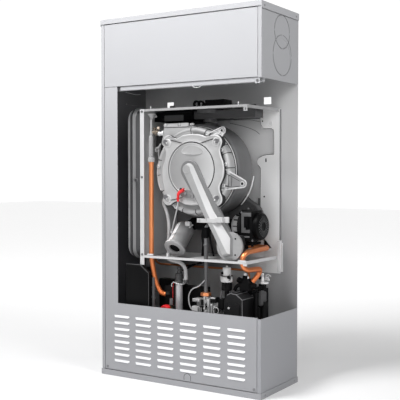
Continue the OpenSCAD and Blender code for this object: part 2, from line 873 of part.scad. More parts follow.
module connection_set() {
  color("#b98a4a") place() {
    cock_body(gas_cock_x);
    rod_z(114, 150, gas_cock_x, gas_at[1], 9);
    cock_body(cold_cock_x);
    rod_z(114, 120, cold_cock_x, gas_at[1], 9);
    for (x = stub_x) rod_z(tray_floor + 0.5, 110, x, stub_depth, stub_r);
    rod_z(110, 120, stub_x[0], stub_depth, 9);
    rod_z(110, 150, stub_x[1], stub_depth, 9);
    rod_z(110, 150, stub_x[2], stub_depth, 9);
  }
}

module lever(x) {
  y = gas_at[1];
  rod_y(y - 22, y - 12.5, x, lever_z, 4);
  box([x - 7, y - 26, lever_z - 52], [x + 7, y - 22, lever_z + 8]);
}

module gas_lever() { color("#e0b21e") place() lever(gas_cock_x); }

module cold_lever() { color("#2f5fae") place() lever(cold_cock_x); }

// ---- assembly ----

back_panel();
left_wall();
right_wall_upper();
right_wall_lower();
top_cap();
bottom_tray();
cross_rail();
upper_cover();
lower_cover();
lower_cover_screws();
screws();
chassis_left_panel();
chassis_roof();
chassis_floor();
chassis_back_plate();
flue_collar();
flue_ducts();
hx_shell();
hx_drum();
hx_coil();
burner_door();
door_insulation();
burner();
spark_electrode();
spark_cap();
spark_lead();
mixing_duct();
fan_volute();
fan_impeller();
fan_motor();
intake_silencer();
gas_pipe();
gas_valve();
vessel_shells();
vessel_diaphragm();
vessel_line();
vent_tube();
flow_pipe();
return_pipe();
hoses();
condensate_trap();
pump_head();
pump_body();
pump_rotor();
left_block();
right_block();
air_vent();
pressure_sensor();
safety_valve();
safety_knob();
diverter_motor();
diverter_stem();
plate_pack();
end_plates();
controller_case();
heating_knob();
water_knob();
connection_set();
gas_lever();
cold_lever();
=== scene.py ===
import math

import bmesh
import bpy
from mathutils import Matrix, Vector
from mathutils.geometry import tessellate_polygon


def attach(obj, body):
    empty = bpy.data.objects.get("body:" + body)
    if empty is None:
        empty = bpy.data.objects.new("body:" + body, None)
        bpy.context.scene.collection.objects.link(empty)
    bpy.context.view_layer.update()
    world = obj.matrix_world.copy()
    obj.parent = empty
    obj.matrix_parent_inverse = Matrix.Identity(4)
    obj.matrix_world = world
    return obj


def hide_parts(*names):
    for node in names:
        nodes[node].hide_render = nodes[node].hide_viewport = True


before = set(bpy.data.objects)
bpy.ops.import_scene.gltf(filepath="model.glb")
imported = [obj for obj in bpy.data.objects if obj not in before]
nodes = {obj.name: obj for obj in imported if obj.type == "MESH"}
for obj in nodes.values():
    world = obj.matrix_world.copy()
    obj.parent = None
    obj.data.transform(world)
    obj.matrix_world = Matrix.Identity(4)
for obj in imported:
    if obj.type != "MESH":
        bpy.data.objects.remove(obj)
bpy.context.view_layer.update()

ROOT = "cabinet"
MM = 0.001
DEPTH = 250.0          # depth of the cabinet; places are (x, depth behind the front plane, height) in mm
UP, DOWN, FRONT, REAR, RIGHT = (0, 0, 1), (0, 0, -1), (0, -1, 0), (0, 1, 0), (1, 0, 0)


def home(v):
    """A point in cabinet millimetres to metres in the shared frame."""
    return Vector((v[0] / 1000, (v[1] - DEPTH / 2) / 1000, v[2] / 1000))


# ---------------------------------------------------------------- camera

cam_data = bpy.data.cameras.new("view")
cam_data.lens = 73.58
cam_data.sensor_width = 36
cam_data.clip_end = 50
cam = bpy.data.objects.new("view", cam_data)
cam.location = (1.42726, -2.23385, 0.67099)
cam.rotation_euler = (math.radians(88.054), 0, math.radians(32.412))
bpy.context.collection.objects.link(cam)
bpy.context.scene.camera = cam

# ---------------------------------------------------------------- materials


def add_node(tree, kind, values=(), feeds=()):
    """A shader node; values are (input, value) and feeds are (input, output of another node)."""
    made = tree.nodes.new("ShaderNode" + kind)
    for key, value in values:
        made.inputs[key].default_value = value
    for key, source in feeds:
        tree.links.new(source, made.inputs[key])
    return made


MIX_AMOUNT, MIX_NEAR, MIX_FAR, MIX_RESULT = 0, 6, 7, 2     # a mix node's sockets for colours


def mixed(tree, amount, near, far):
    """A colour output that goes over into a fixed colour."""
    mix = tree.nodes.new("ShaderNodeMix")
    mix.data_type = "RGBA"
    mix.inputs[MIX_FAR].default_value = (*far, 1)
    tree.links.new(amount, mix.inputs[MIX_AMOUNT])
    tree.links.new(near, mix.inputs[MIX_NEAR])
    return mix.outputs[MIX_RESULT]


def along(tree, direction, start, end, low, high, space):
    """A value that climbs from low to high between two distances along a direction."""
    coord = add_node(tree, "TexCoord")
    dot = tree.nodes.new("ShaderNodeVectorMath")
    dot.operation = "DOT_PRODUCT"
    dot.inputs[1].default_value = direction
    tree.links.new(coord.outputs[space], dot.inputs[0])
    limits = [("From Min", start), ("From Max", end), ("To Min", low), ("To Max", high)]
    return add_node(tree, "MapRange", limits, [("Value", dot.outputs["Value"])]).outputs["Result"]


def material(name, color, rough=0.5, metal=0.0, vary=0.06, grain=60.0, bump=0.02, bump_scale=400.0,
             stretch=(1, 1, 1), rough_vary=0.08, wear=0.0, shine=0.5, top=None, across=None):
    """A procedural finish: soft colour variation, uneven gloss and a fine surface grain.

    The edge lightening paints a highlight on the edges; top and across are (colour, from, to), a colour that
    takes over upwards or to the right between two places, as painted light and shade.
    """
    m = bpy.data.materials.new(name)
    m.use_nodes = True
    tree = m.node_tree
    bsdf = tree.nodes["Principled BSDF"].inputs
    bsdf["Metallic"].default_value = metal
    bsdf["Specular IOR Level"].default_value = shine
    place = add_node(tree, "TexCoord").outputs["Object"]
    spread = add_node(tree, "Mapping", [("Scale", stretch)], [("Vector", place)]).outputs["Vector"]
    cloud = add_node(tree, "TexNoise", [("Scale", grain), ("Detail", 3)], [("Vector", spread)]).outputs["Fac"]
    ramp = add_node(tree, "ValToRGB", (), [("Fac", cloud)])
    for stop, position, change in zip(ramp.color_ramp.elements, (0.3, 0.7), (-vary, vary)):
        stop.position = position
        stop.color = (*[min(1.0, c * (1 + change)) for c in color], 1)
    shade = ramp.outputs["Color"]
    # painted light and shade: a colour that takes over across and upwards
    for far, axis in ((across, "X"), (top, "Z")):
        if far:
            split = add_node(tree, "SeparateXYZ", (), [("Vector", place)])
            span = add_node(tree, "MapRange", [("From Min", far[1]), ("From Max", far[2])],
                            [("Value", split.outputs[axis])])
            shade = mixed(tree, span.outputs["Result"], shade, far[0])
    # painted highlight: the sharp edges get a lighter colour
    if wear:
        edge = add_node(tree, "ValToRGB", (), [("Fac", add_node(tree, "NewGeometry").outputs["Pointiness"])])
        for stop, position in zip(edge.color_ramp.elements, (0.52, 0.6)):
            stop.position = position
        shade = mixed(tree, edge.outputs["Color"], shade, [min(1.0, c * (1 + wear) + 0.008) for c in color])
    tree.links.new(shade, bsdf["Base Color"])
    limits = [("To Min", max(0.03, rough - rough_vary)), ("To Max", min(1.0, rough + rough_vary))]
    gloss = add_node(tree, "MapRange", limits, [("Value", cloud)])
    tree.links.new(gloss.outputs["Result"], bsdf["Roughness"])
    fine = add_node(tree, "TexNoise", [("Scale", bump_scale), ("Detail", 2)], [("Vector", spread)])
    relief = add_node(tree, "Bump", [("Strength", bump), ("Distance", MM)], [("Height", fine.outputs["Fac"])])
    tree.links.new(relief.outputs["Normal"], bsdf["Normal"])
    return m


def grey(level, blue=0.003):
    """A nearly neutral grey; blue is what its blue has more."""
    return (level, level, level + blue)


def sheet(name, color, rough=0.5, metal=0.0, vary=0.03, grain=8, bump=0.04, bump_scale=900, **more):
    """A finish of sheet metal, painted or bare."""
    return material(name, color, rough, metal, vary, grain, bump, bump_scale, **more)


def cast(name, color, rough, metal, vary, bump, **more):
    """A finish of cast metal."""
    return material(name, color, rough, metal, vary, 40, bump, 420, **more)


def plastic(name, color, rough=0.45, vary=0.08, bump=0.08, bump_scale=800, metal=0.0, **more):
    """A finish of moulded plastic or of thick paint."""
    return material(name, color, rough, metal, vary, 25, bump, bump_scale, **more)


# the cabinet paint lightens upwards: painted light from above
PAINT = sheet("cabinet_paint", (0.34, 0.343, 0.36), 0.5, 0.1, 0.015, top=((0.49, 0.494, 0.512), 0.15, 1.0))
# a slightly darker copy of the paint for the side walls: painted shade, also lighter upwards
PAINT_SIDE_SHADED = sheet("cabinet_paint_side_shaded", (0.33, 0.334, 0.354), 0.5, 0.15, 0.015,
                   top=((0.47, 0.474, 0.49), 0.1, 1.0))
# painted shade on the inside faces of the walls, lighter near the top
PAINT_INSIDE_SHADE = sheet("cabinet_inside_shade", grey(0.09, 0.01), 0.5, 0.2, 0.03, 6, top=(grey(0.22, 0.005), 0.76, 0.98))
# the louvres are pressed from the cover's own sheet; their light colour is a painted highlight
LOUVRE_HIGHLIGHT = sheet("louvre_highlight", grey(0.86, 0.02), 0.42, 0.0, 0.02)
# a darker copy of the chassis paint below: painted shade under the upper cover
ROOF_SHEET_SHADED = sheet("chassis_roof_shaded", grey(0.33, 0.004), 0.4, 0.0, 0.03, 20, 0.03, 800)
WHITE_SHEET = sheet("chassis_paint", grey(0.56, 0.005), 0.4, 0.0, 0.03, 20, 0.03, 800)
# lighter towards the top: painted light against the roof's shadow
PLATE = sheet("galvanised", grey(0.80, 0.005), 0.5, 0.1, 0.04, 14, 0.04, 300, top=(grey(0.95, 0), 0.55, 0.82))
# painted shade in the plate's recess, dark on the left and light to the right
PLATE_SHADED = sheet("galvanised_painted_shading", grey(0.20), 0.5, 0.3, 0.05, 12, 0.04, 300,
                  across=(grey(0.88, 0), 0.05, 0.17))
# painted shade for dark lines along the plate's edges and gaps
PLATE_EDGE_SHADE = sheet("galvanised_edge_shade", grey(0.10, 0.002), 0.5, 0.3, 0.05, 12, 0.03, 300)
PLATE_DARK = sheet("galvanised_shade", grey(0.11, 0.004), 0.5, 0.5, 0.10, 10, 0.05, 300)
# painted light and shade on the back sheet: lighter on the left, darker to the right and lighter upwards
BACK_PAINTED_LIGHT = sheet("back_sheet_painted_light", grey(0.56, 0.004), 0.36, 0.2, 0.10, 5, 0.03, 300, stretch=(2.2, 1, 0.5),
             across=(grey(0.36, 0.01), 0.10, 0.25), top=(grey(0.76, 0.005), 0.38, 0.72))
VESSEL = sheet("vessel_paint", grey(0.34, 0.01), 0.36, 0.3, 0.05, 10, 0.05, 600)
# painted highlight and painted shade for the vessel's light and dark bands
VESSEL_HIGHLIGHT = sheet("vessel_bead_highlight", grey(0.94, 0.005), 0.4, 0.0, 0.03, 10, 0.05, 600)
VESSEL_HALF_SHADE = sheet("vessel_flank_shade", grey(0.34, 0.005), 0.4, 0.1, 0.03, 10, 0.05, 600)
VESSEL_DARK = sheet("vessel_shade", grey(0.09, 0.004), 0.5, 0.1, 0.05, 10, 0.05, 600)

CAST = cast("cast_aluminium", grey(0.45), 0.52, 0.25, 0.04, 0.16, wear=0.45)
CAST_SHELL = cast("cast_shell", grey(0.36), 0.62, 0.12, 0.05, 0.20, wear=0.6)
CAST_LIGHT = cast("cast_light", grey(0.62), 0.48, 0.2, 0.03, 0.08)
# painted shading across the door's dished disc, dark on the left and light on the right
CAST_DISC_SHADED = cast("cast_disc_shaded", grey(0.33), 0.40, 0.35, 0.03, 0.06, across=(grey(0.66, 0.005), -0.05, 0.12))
# near black: the fan casing's own colour, and painted shade in the castings' gaps, grooves, creases and holes
CAST_BLACK = cast("cast_black_and_gap_shade", grey(0.03, 0.001), 0.6, 0.1, 0.05, 0.05, shine=0.2)
CAST_MID = cast("cast_mid", grey(0.31), 0.58, 0.15, 0.05, 0.22, wear=0.35)
CAST_DARK = cast("cast_shade", grey(0.22), 0.5, 0.35, 0.06, 0.22, wear=0.3)
DUCT = material("duct_aluminium", grey(0.40), 0.42, 0.3, 0.04, 30, 0.10, 500, wear=0.3)
# painted highlight on the duct's sides that face the light
DUCT_HIGHLIGHT = material("duct_highlight", grey(0.56, 0.005), 0.4, 0.1, 0.03, 30, 0.08, 500)

BLACK = plastic("black_plastic", grey(0.0025, 0.0003), 0.42, 0.15, 0.06, 900, wear=1.0, shine=0.07)
PUMP_BLACK = plastic("pump_black", grey(0.008, 0.0005), 0.45, 0.15, 0.06, 900, wear=2.0, shine=0.2)
BLACK_MATT = plastic("black_matt", grey(0.005, 0.0005), 0.62, 0.15, 0.06, 900, shine=0.03)
DRUM = material("drum_plastic", grey(0.125), 0.36, 0.0, 0.10, 20, 0.05, 700, wear=0.5)
GREY = plastic("grey_plastic", grey(0.15, 0.005), wear=0.4)
GREY_DARK = plastic("dark_grey_plastic", grey(0.055, 0.002), wear=0.4)
GREY_MID = plastic("mid_grey_plastic", grey(0.08, 0.002), 0.42, wear=0.4)
GREY_SILENCER = plastic("silencer_plastic", grey(0.33, 0.004), 0.32, 0.05, 0.06, 700, 0.35, wear=0.4)
# painted highlight on the silencer
SIL_HIGHLIGHT = plastic("silencer_highlight", grey(0.95, 0.005), 0.35, 0.03, 0.05, 700, 0.2)
LIGHT = plastic("light_plastic", grey(0.66, 0.01), 0.35, 0.03, 0.03)
WHITE = plastic("white_plastic", grey(0.90, 0), 0.4, 0.02, 0.03)
RED = plastic("red_plastic", (0.72, 0.02, 0.025), 0.32, 0.06, 0.04)
YELLOW = plastic("yellow_paint", (0.75, 0.47, 0.02), 0.35, 0.05, 0.04, 700)
BLUE = plastic("blue_paint", (0.03, 0.11, 0.42), 0.35, 0.05, 0.04, 700)
HOSE = material("hose_rubber", grey(0.46, 0.005), 0.55, 0.0, 0.05, 30, 0.10, 900)
CERAMIC = material("ceramic", (0.82, 0.80, 0.74), 0.6, 0.0, 0.04, 30, 0.10, 500)

STEEL = material("stainless", grey(0.66, 0.01), 0.28, 0.9, 0.05, 18, 0.04, 250, (1, 1, 12))
STEEL_LIGHT = plastic("trap_grey", grey(0.50, 0.02), 0.3, 0.04, 0.03, 600, 0.3)
SCREW = material("screw_steel", grey(0.24, 0.01), 0.4, 0.7, 0.08, 60, 0.05, 500)
PIPE_GREY = plastic("zinc_pipe", grey(0.15, 0.004), 0.42, 0.08, 0.08, 600, 0.3)
BRASS = material("brass", (0.62, 0.45, 0.20), 0.34, 0.85, 0.08, 30, 0.06, 400)
BRASS_DARK = material("brass_dull", (0.36, 0.30, 0.24), 0.42, 0.6, 0.10, 30, 0.08, 400)
# the copper is darker towards the bottom: painted shade on its low runs
COPPER = material("copper", (0.62, 0.16, 0.05), 0.35, 0.8, 0.02, 12, 0.01, 300, rough_vary=0.02,
                  top=((0.92, 0.34, 0.14), 0.27, 0.50))
COPPER_DARK = material("copper_dull", (0.50, 0.18, 0.07), 0.4, 0.7, 0.10, 12, 0.03, 300)
NUT_COPPER = material("copper_nut", (0.95, 0.36, 0.16), 0.34, 0.8, 0.04, 12, 0.02, 300)

# the floor glows more and more away from the camera, so that it runs into the white behind it
FLOOR = material("floor", grey(0.80, 0.005), 0.8, 0.0, 0.01, 3, 0.01, 200)
surface = FLOOR.node_tree.nodes["Principled BSDF"].inputs
surface["Emission Color"].default_value = (1, 1, 1, 1)
glow = along(FLOOR.node_tree, (-0.536, 0.844, 0), 0.3, 2.2, 0.18, 0.72, "Object")
FLOOR.node_tree.links.new(glow, surface["Emission Strength"])

# ---------------------------------------------------------------- shapes, all in cabinet millimetres


def ring_faces(rows, n):
    """Quads between rows of n points each."""
    out = []
    for a in range(0, (rows - 1) * n, n):
        for j in range(n):
            k = (j + 1) % n
            out.append((a + j, a + k, a + n + k, a + n + j))
    return out


def axes_for(direction):
    """Two unit vectors square to a direction."""
    d = Vector(direction).normalized()
    side = d.cross(Vector(UP) if abs(d.z) < 0.9 else Vector(RIGHT)).normalized()
    return side, d.cross(side).normalized()


def turned(profile, base, direction, seg=72):
    """A profile of (radius, distance along the axis) turned round an axis."""
    u, w = axes_for(direction)
    d = Vector(direction).normalized()
    verts = []
    for r, t in profile:
        for j in range(seg):
            a = 2 * math.pi * j / seg
            verts.append(tuple(Vector(base) + d * t + (u * math.cos(a) + w * math.sin(a)) * max(r, 0.001)))
    return verts, ring_faces(len(profile), seg)


def stud(base, direction, seg, *steps):
    """A round stud with a flat end; steps are (radius, distance), and the first radius starts at 0."""
    return turned([(steps[0][0], 0), *steps, (0, steps[-1][1])], base, direction, seg)


def round_corners(points, radius, steps=7):
    """A path with its corners rounded."""
    pts = [Vector(p) for p in points]
    out = [pts[0]]
    for a, b, c in zip(pts, pts[1:], pts[2:]):
        ab, cb = a - b, c - b
        cut = min(radius, ab.length * 0.48, cb.length * 0.48)
        p, q = b + ab.normalized() * cut, b + cb.normalized() * cut
        for s in range(steps + 1):
            t = s / steps
            out.append(p * (1 - t) ** 2 + b * 2 * t * (1 - t) + q * t * t)
    return out + [pts[-1]]


def tube(points, r, bend=20.0, sides=24, radii=None):
    """A round tube along a path; radii may give a radius for each point of the smooth path."""
    path = round_corners(points, bend)
    last = len(path) - 1
    prev = (path[1] - path[0]).normalized()
    u, w = axes_for(prev)
    verts = []
    for i, p in enumerate(path):
        d = (path[min(i + 1, last)] - path[max(i - 1, 0)]).normalized()
        turn = prev.rotation_difference(d)
        u, w = turn @ u, turn @ w
        prev = d
        rr = radii(i / last) if radii else r
        for j in range(sides):
            a = 2 * math.pi * j / sides
            verts.append(tuple(p + (u * math.cos(a) + w * math.sin(a)) * rr))
    n = len(verts)
    return verts, ring_faces(len(path), sides) + [tuple(range(sides - 1, -1, -1)), tuple(range(n - sides, n))]


def slab(outline, t0, t1, axis="y", holes=()):
    """A plate between two places along an axis: y takes an outline in (x, z), x takes one in (y, z)."""
    loops = [list(outline)] + [list(h) for h in holes]
    flat = [p for loop in loops for p in loop]
    n = len(flat)
    verts = [(t, a, b) if axis == "x" else (a, t, b) for t in (t0, t1) for a, b in flat]
    tris = tessellate_polygon([[Vector((a, b, 0)) for a, b in loop] for loop in loops])
    faces = [tuple(t) for t in tris] + [tuple(i + n for i in reversed(t)) for t in tris]
    off = 0
    for loop in loops:
        m = len(loop)
        for i in range(m):
            k = (i + 1) % m
            faces.append((off + i, off + k, off + k + n, off + i + n))
        off += m
    return verts, faces


def loft(rows):
    """Skin through closed rows of points, all rows the same length, with both ends closed."""
    n = len(rows[0])
    verts = [tuple(p) for row in rows for p in row]
    ends = [tuple(range(n - 1, -1, -1)), tuple(range(len(verts) - n, len(verts)))]
    return verts, ring_faces(len(rows), n) + ends


def box(x0, y0, z0, x1, y1, z1):
    """A plain box between two corners; its edges are rounded by the piece's bevel."""
    v = [(x, y, z) for x in (x0, x1) for y in (y0, y1) for z in (z0, z1)]
    return v, [(0, 1, 3, 2), (4, 6, 7, 5), (0, 4, 5, 1), (2, 3, 7, 6), (0, 2, 6, 4), (1, 5, 7, 3)]


def polar(cx, cz, r, degrees):
    """The flat point at a distance and an angle from a centre."""
    a = math.radians(degrees)
    return cx + r * math.cos(a), cz + r * math.sin(a)


def circle(cx, cz, r, n=40, start=0.0, sweep=360.0):
    """Points on a circle, or on an arc of it with both its ends."""
    return [polar(cx, cz, r, start + sweep * i / n) for i in range(n if sweep >= 360 else n + 1)]


def round_rect(a0, a1, b0, b1, r, n=8):
    """A rectangle with round corners."""
    corners = ((a1 - r, b1 - r, 0), (a0 + r, b1 - r, 90), (a0 + r, b0 + r, 180), (a1 - r, b0 + r, 270))
    return [p for a, b, start in corners for p in circle(a, b, r, n, start, 90)]


def smooth_loop(points, per=6):
    """A closed curve through given points."""
    out = []
    n = len(points)
    for i in range(n):
        p0, p1, p2, p3 = (Vector(points[(i + k - 1) % n]) for k in range(4))
        for s in range(per):
            t = s / per
            out.append(tuple(0.5 * ((2 * p1) + (p2 - p0) * t + (2 * p0 - 5 * p1 + 4 * p2 - p3) * t * t
                                    + (3 * p1 - p0 - 3 * p2 + p3) * t ** 3)))
    return out


def scaled(loop, k, cx, cz):
    """A loop of (x, z) made smaller or larger about a centre."""
    return [(cx + (a - cx) * k, cz + (b - cz) * k) for a, b in loop]


def at_depth(y, loop):
    """Flat points (x, z) at one depth."""
    return [(a, y, b) for a, b in loop]


def skin(*loops):
    """A closed skin through loops of (x, z), each given with its depth."""
    return loft([at_depth(y, loop) for loop, y in loops])


def hex_nut(base, direction, r, h):
    """A hexagon nut with a turned chamfer."""
    profile = [(0, 0), (r * 0.6, 0), (r * 0.94, 0), (r, h * 0.1), (r, h * 0.85), (r * 0.9, h), (r * 0.5, h),
               (0, h)]
    return turned(profile, base, direction, 6)


def screw_head(base, direction, r, h=2.0):
    """A pan-head screw with a socket in it."""
    profile = [(r, 0), (r, h * 0.4), (r * 0.8, h * 0.85), (r * 0.45, h), (r * 0.4, h * 0.5), (0, h * 0.5)]
    return turned(profile, base, direction, 20)


def piece(name, shapes, mat, bevel=0.0, stands=None, body=ROOT, steps=2, sharp=35.0):
    """Joins shapes into one named piece that rides on a body, and may stand for a CAD node."""
    verts, faces = [], []
    for v, f in shapes:
        off = len(verts)
        verts += [tuple(home(p)) for p in v]
        faces += [tuple(i + off for i in face) for face in f]
    mesh = bpy.data.meshes.new(name)
    mesh.from_pydata(verts, [], faces)
    mesh.validate()
    obj = bpy.data.objects.new(name, mesh)
    bpy.context.collection.objects.link(obj)
    weld_and_face_out(mesh)
    mesh.shade_smooth()
    mesh.set_sharp_from_angle(angle=math.radians(sharp))
    mesh.materials.append(mat)
    if bevel:
        add_bevel(obj, bevel, steps)
    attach(obj, body)
    if stands:
        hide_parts(stands)
    return obj


def weld_and_face_out(mesh):
    """Joins points that coincide and turns all faces outwards."""
    bm = bmesh.new()
    bm.from_mesh(mesh)
    bmesh.ops.remove_doubles(bm, verts=bm.verts, dist=1e-6)
    bmesh.ops.recalc_face_normals(bm, faces=bm.faces)
    bm.to_mesh(mesh)
    bm.free()


def add_bevel(obj, width, steps=2):
    """Rounds an object's sharp edges; the width is in mm."""
    mod = obj.modifiers.new("edge", "BEVEL")
    mod.width = width * MM
    mod.segments = steps
    mod.limit_method = "ANGLE"
    mod.angle_limit = math.radians(40)
    mod.use_clamp_overlap = True


def dress(mat, bevel, *names):
    """Gives CAD nodes their finish, and softened edges."""
    for name in names:
        nodes[name].data.materials.clear()
        nodes[name].data.materials.append(mat)
        if bevel:
            add_bevel(nodes[name], bevel)


def paint_faces(obj, mats, choose):
    """More colours on one object, used here mostly for painted light and shade; choose says which one a face
    has, from its centre and normal, 0 for the first.
    """
    for mat in mats:
        obj.data.materials.append(mat)
    for face in obj.data.polygons:
        face.material_index = choose(face.center, face.normal)


def shading_by_facing(obj, mat, direction, least):
    """A second colour on the faces that look one way: painted light and shade by facing."""
    want = Vector(direction).normalized()
    paint_faces(obj, (mat,), lambda centre, normal: int(normal.dot(want) > least))


# ---------------------------------------------------------------- cabinet

dress(PAINT_SIDE_SHADED, 0.5, "right_wall_upper", "right_wall_lower")
dress(PAINT, 0.5, "top_cap", "bottom_tray", "cross_rail", "upper_cover")
dress(PAINT, 0.4, "left_wall")
# painted shade on the left wall's inside face
shading_by_facing(nodes["left_wall"], PAINT_INSIDE_SHADE, RIGHT, 0.9)
dress(BACK_PAINTED_LIGHT, 0, "back_panel")
dress(SCREW, 0.5, "screws", "lower_cover_screws")

# the lower cover is an L of sheet round the window, with a grid of louvres in its foot
COVER_X, COVER_Y, COVER_TOP, COVER_LOW = 285.0, 2.5, 948.5, 19.5
WINDOW_X, WINDOW_Z = -232.5, 241.5
SHEET = 1.2
LOUVRE_LENGTH = 61.5
LOUVRES = [(-247.0 + col * 86.3, 197.0 - row * 20.9) for col in range(6) for row in range(8)]


def louvre_hood(x0, z, height=7.6, depth=2.1, across=16, down=7):
    """A pressed louvre: a rounded hood that bulges out of the sheet and is open below."""
    verts = []
    for i in range(across + 1):
        t = i / across
        rise = min(1.0, math.sin(math.pi * t) * 5.0) ** 0.6
        for j in range(down + 1):
            s = j / down
            bulge = math.sin(s * math.pi * 0.56) * rise
            level = z + height / 2 - height * s * (0.55 + 0.45 * rise)
            verts.append((x0 + LOUVRE_LENGTH * t, COVER_Y - depth * bulge, level))
    inner = [(x, y + 0.7, z + 0.1) for x, y, z in verts]
    n, k = down + 1, len(verts)
    faces = []
    for a in range(0, across * n, n):
        for p in range(a, a + down):
            q = p + n
            faces += [(p, q, q + 1, p + 1), (p + k + 1, q + k + 1, q + k, p + k)]
        low = a + down
        faces += [(low, low + n, low + n + k, low + k), (a + k, a + n + k, a + n, a)]
    return verts + inner, faces


def cover_plate():
    """The lower cover's sheet with a slot behind each louvre, and its folded edges."""
    outline = [(-COVER_X, COVER_LOW), (COVER_X, COVER_LOW), (COVER_X, WINDOW_Z), (WINDOW_X, WINDOW_Z),
               (WINDOW_X, COVER_TOP), (-COVER_X, COVER_TOP)]
    slots = []
    for x, z in LOUVRES:
        a, b = x + 3, x + LOUVRE_LENGTH - 3
        slots.append([(a, z - 3.6), (b, z - 3.6), (b, z + 2.5), (a, z + 2.5)])
    near, far = COVER_Y + 1, COVER_Y + 7
    return [slab(outline, COVER_Y, COVER_Y + SHEET, "y", slots),
            box(-COVER_X, near, COVER_LOW, -COVER_X + SHEET, far, COVER_TOP),
            box(COVER_X - SHEET, near, COVER_LOW, COVER_X, far, WINDOW_Z),
            box(-COVER_X + SHEET, near, COVER_LOW, COVER_X - SHEET, far, COVER_LOW + SHEET)]


piece("lower_cover_sheet", cover_plate(), PAINT, stands="lower_cover", body="lower_cover", sharp=30)
# the louvres' light colour is a painted highlight
piece("lower_cover_louvres", [louvre_hood(x, z + 1) for x, z in LOUVRES], LOUVRE_HIGHLIGHT, body="lower_cover")

# knock-out in the lower cover: a scored arch
outer, inner = ([(40 - r, COVER_LOW + 3), *circle(40, 32, r, 15, 180, -180), (40 + r, COVER_LOW + 3)]
                for r in (13, 11.8))
piece("lower_knockout_score", [slab(outer + inner[::-1], COVER_Y - 0.3, COVER_Y + 0.2)], BLACK_MATT,
      body="lower_cover")


def score(cy, cz, r, ties=4):
    """A scored circle on the right wall, broken by its ties."""
    shapes = []
    for tie in range(ties):
        outer, inner = (circle(cy, cz, edge, 26, tie * 360 / ties + 3.5, 360 / ties - 7)
                        for edge in (r + 0.8, r - 0.8))
        shapes.append(slab(outer + inner[::-1], 298.6, 298.9, "x"))
    return shapes


piece("side_knockout_scores", [
    # the long strip under the top cap is a painted shadow line
    *score(135, 1096.5, 50.5), *score(136, 1026, 61), box(298.6, 4, 1146.6, 298.9, 246, 1148)
], SCREW)

# ---------------------------------------------------------------- chassis

dress(WHITE_SHEET, 0.3, "chassis_left_panel", "chassis_floor")
dress(ROOF_SHEET_SHADED, 0.3, "chassis_roof")
dress(PLATE_SHADED, 0, "chassis_back_plate")
plate_edge = [
    (167, 844), (170, 826), (176, 815), (184, 812.5), (208, 812), (215, 808), (217.5, 800), (218, 731),
    (216, 727), (190, 727), (176, 724), (162, 717), (156, 709), (156, 702), (159, 695), (166, 689),
    (169, 684), (169, 470)]
face = [(167, 872), *plate_edge, (182, 456), (182, 396), (238.5, 396), (238.5, 872)]
piece("plate_face", [
    slab(face, 239.5, 242.5), turned([(7, 0), (7, 1), (6, 2), (0, 2.4)], (205, 239.5, 827), REAR, 32)
], PLATE, 1.2, steps=3)
piece("plate_marks", [
    turned([(9, 0), (8, 0.5), (7, 0.8), (6.6, 0.2), (0, 0.2)], (205, 239.4, 827), FRONT, 32)
], PLATE_SHADED)
# dark discs where holes in the plate show only shade: painted shade
piece("plate_holes", [
    slab(circle(183, 592, 2.6, 20), 238.9, 239.6), slab(round_rect(187, 191, 704, 716, 2, 4), 238.9, 239.6),
    slab(circle(176, 836, 2.2, 16), 238.9, 239.6)
], BLACK_MATT)
piece("side_strip", [
    box(240, 220, 351, 251, 226, 446), box(236, 226, 440, 246, 243, 452)
], LIGHT, 0.8)
# painted shade: a dark line along the plate's cut edge
piece("plate_outline", [tube(at_depth(241.5, plate_edge), 1.5, 4, 8)], PLATE_EDGE_SHADE)
# painted shade: a dark strip on the plate's right edge
piece("plate_side_shade", [box(238.6, 239, 446, 240.6, 246, 872)], GREY)

# pins and pipe clips on the lips of the chassis
piece("roof_pins", [
    turned([(1.6, 0), (1.6, 8), (1.1, 9.5), (0, 9.6)], (x, 33, 874), UP, 14) for x in (-120, 204)
], WHITE_SHEET)
piece("pipe_clips", [
    tube([(-137, 36.5, 404), (-133, 35.6, 404), (-117, 35.6, 404), (-113, 36.5, 404)], 3.2, 6, 12),
    tube([(203, 36, 402), (208, 35, 402), (222, 35, 402), (228, 36, 402)], 3.4, 6, 12),
    box(226, 30.4, 397, 234, 32, 405), box(-60, 33, 400, -54, 35, 412)
], WHITE_SHEET, 0.5)

# ---------------------------------------------------------------- heat exchanger

AX, AZ = 25.0, 680.0                     # centre of the burner door
SHX, SHZ = AX - 4, AZ - 5                # centre of the cast shell and the drum
DOOR = smooth_loop([
    (29, 791), (50, 790), (65, 787), (78, 782), (90, 783), (103, 787), (116, 787), (129, 781), (137, 769),
    (136, 757), (131, 744), (131, 732), (136, 716), (142, 702), (145, 684), (144, 662), (138, 646),
    (131, 632), (129, 620), (132, 606), (138, 592), (136, 577), (122, 566), (106, 564), (90, 569),
    (75, 573), (58, 570), (38, 567), (15, 567), (-5, 571), (-18, 578), (-32, 578), (-44, 573), (-55, 566),
    (-68, 565), (-79, 572), (-83, 584), (-80, 598), (-78, 614), (-81, 630), (-85, 650), (-86, 675),
    (-81, 697), (-74, 716), (-72, 732), (-75, 745), (-80, 758), (-82, 772), (-77, 784), (-66, 789),
    (-55, 788), (-43, 782), (-30, 779), (-20, 782), (-10, 787), (8, 790)
][::-1], 3)


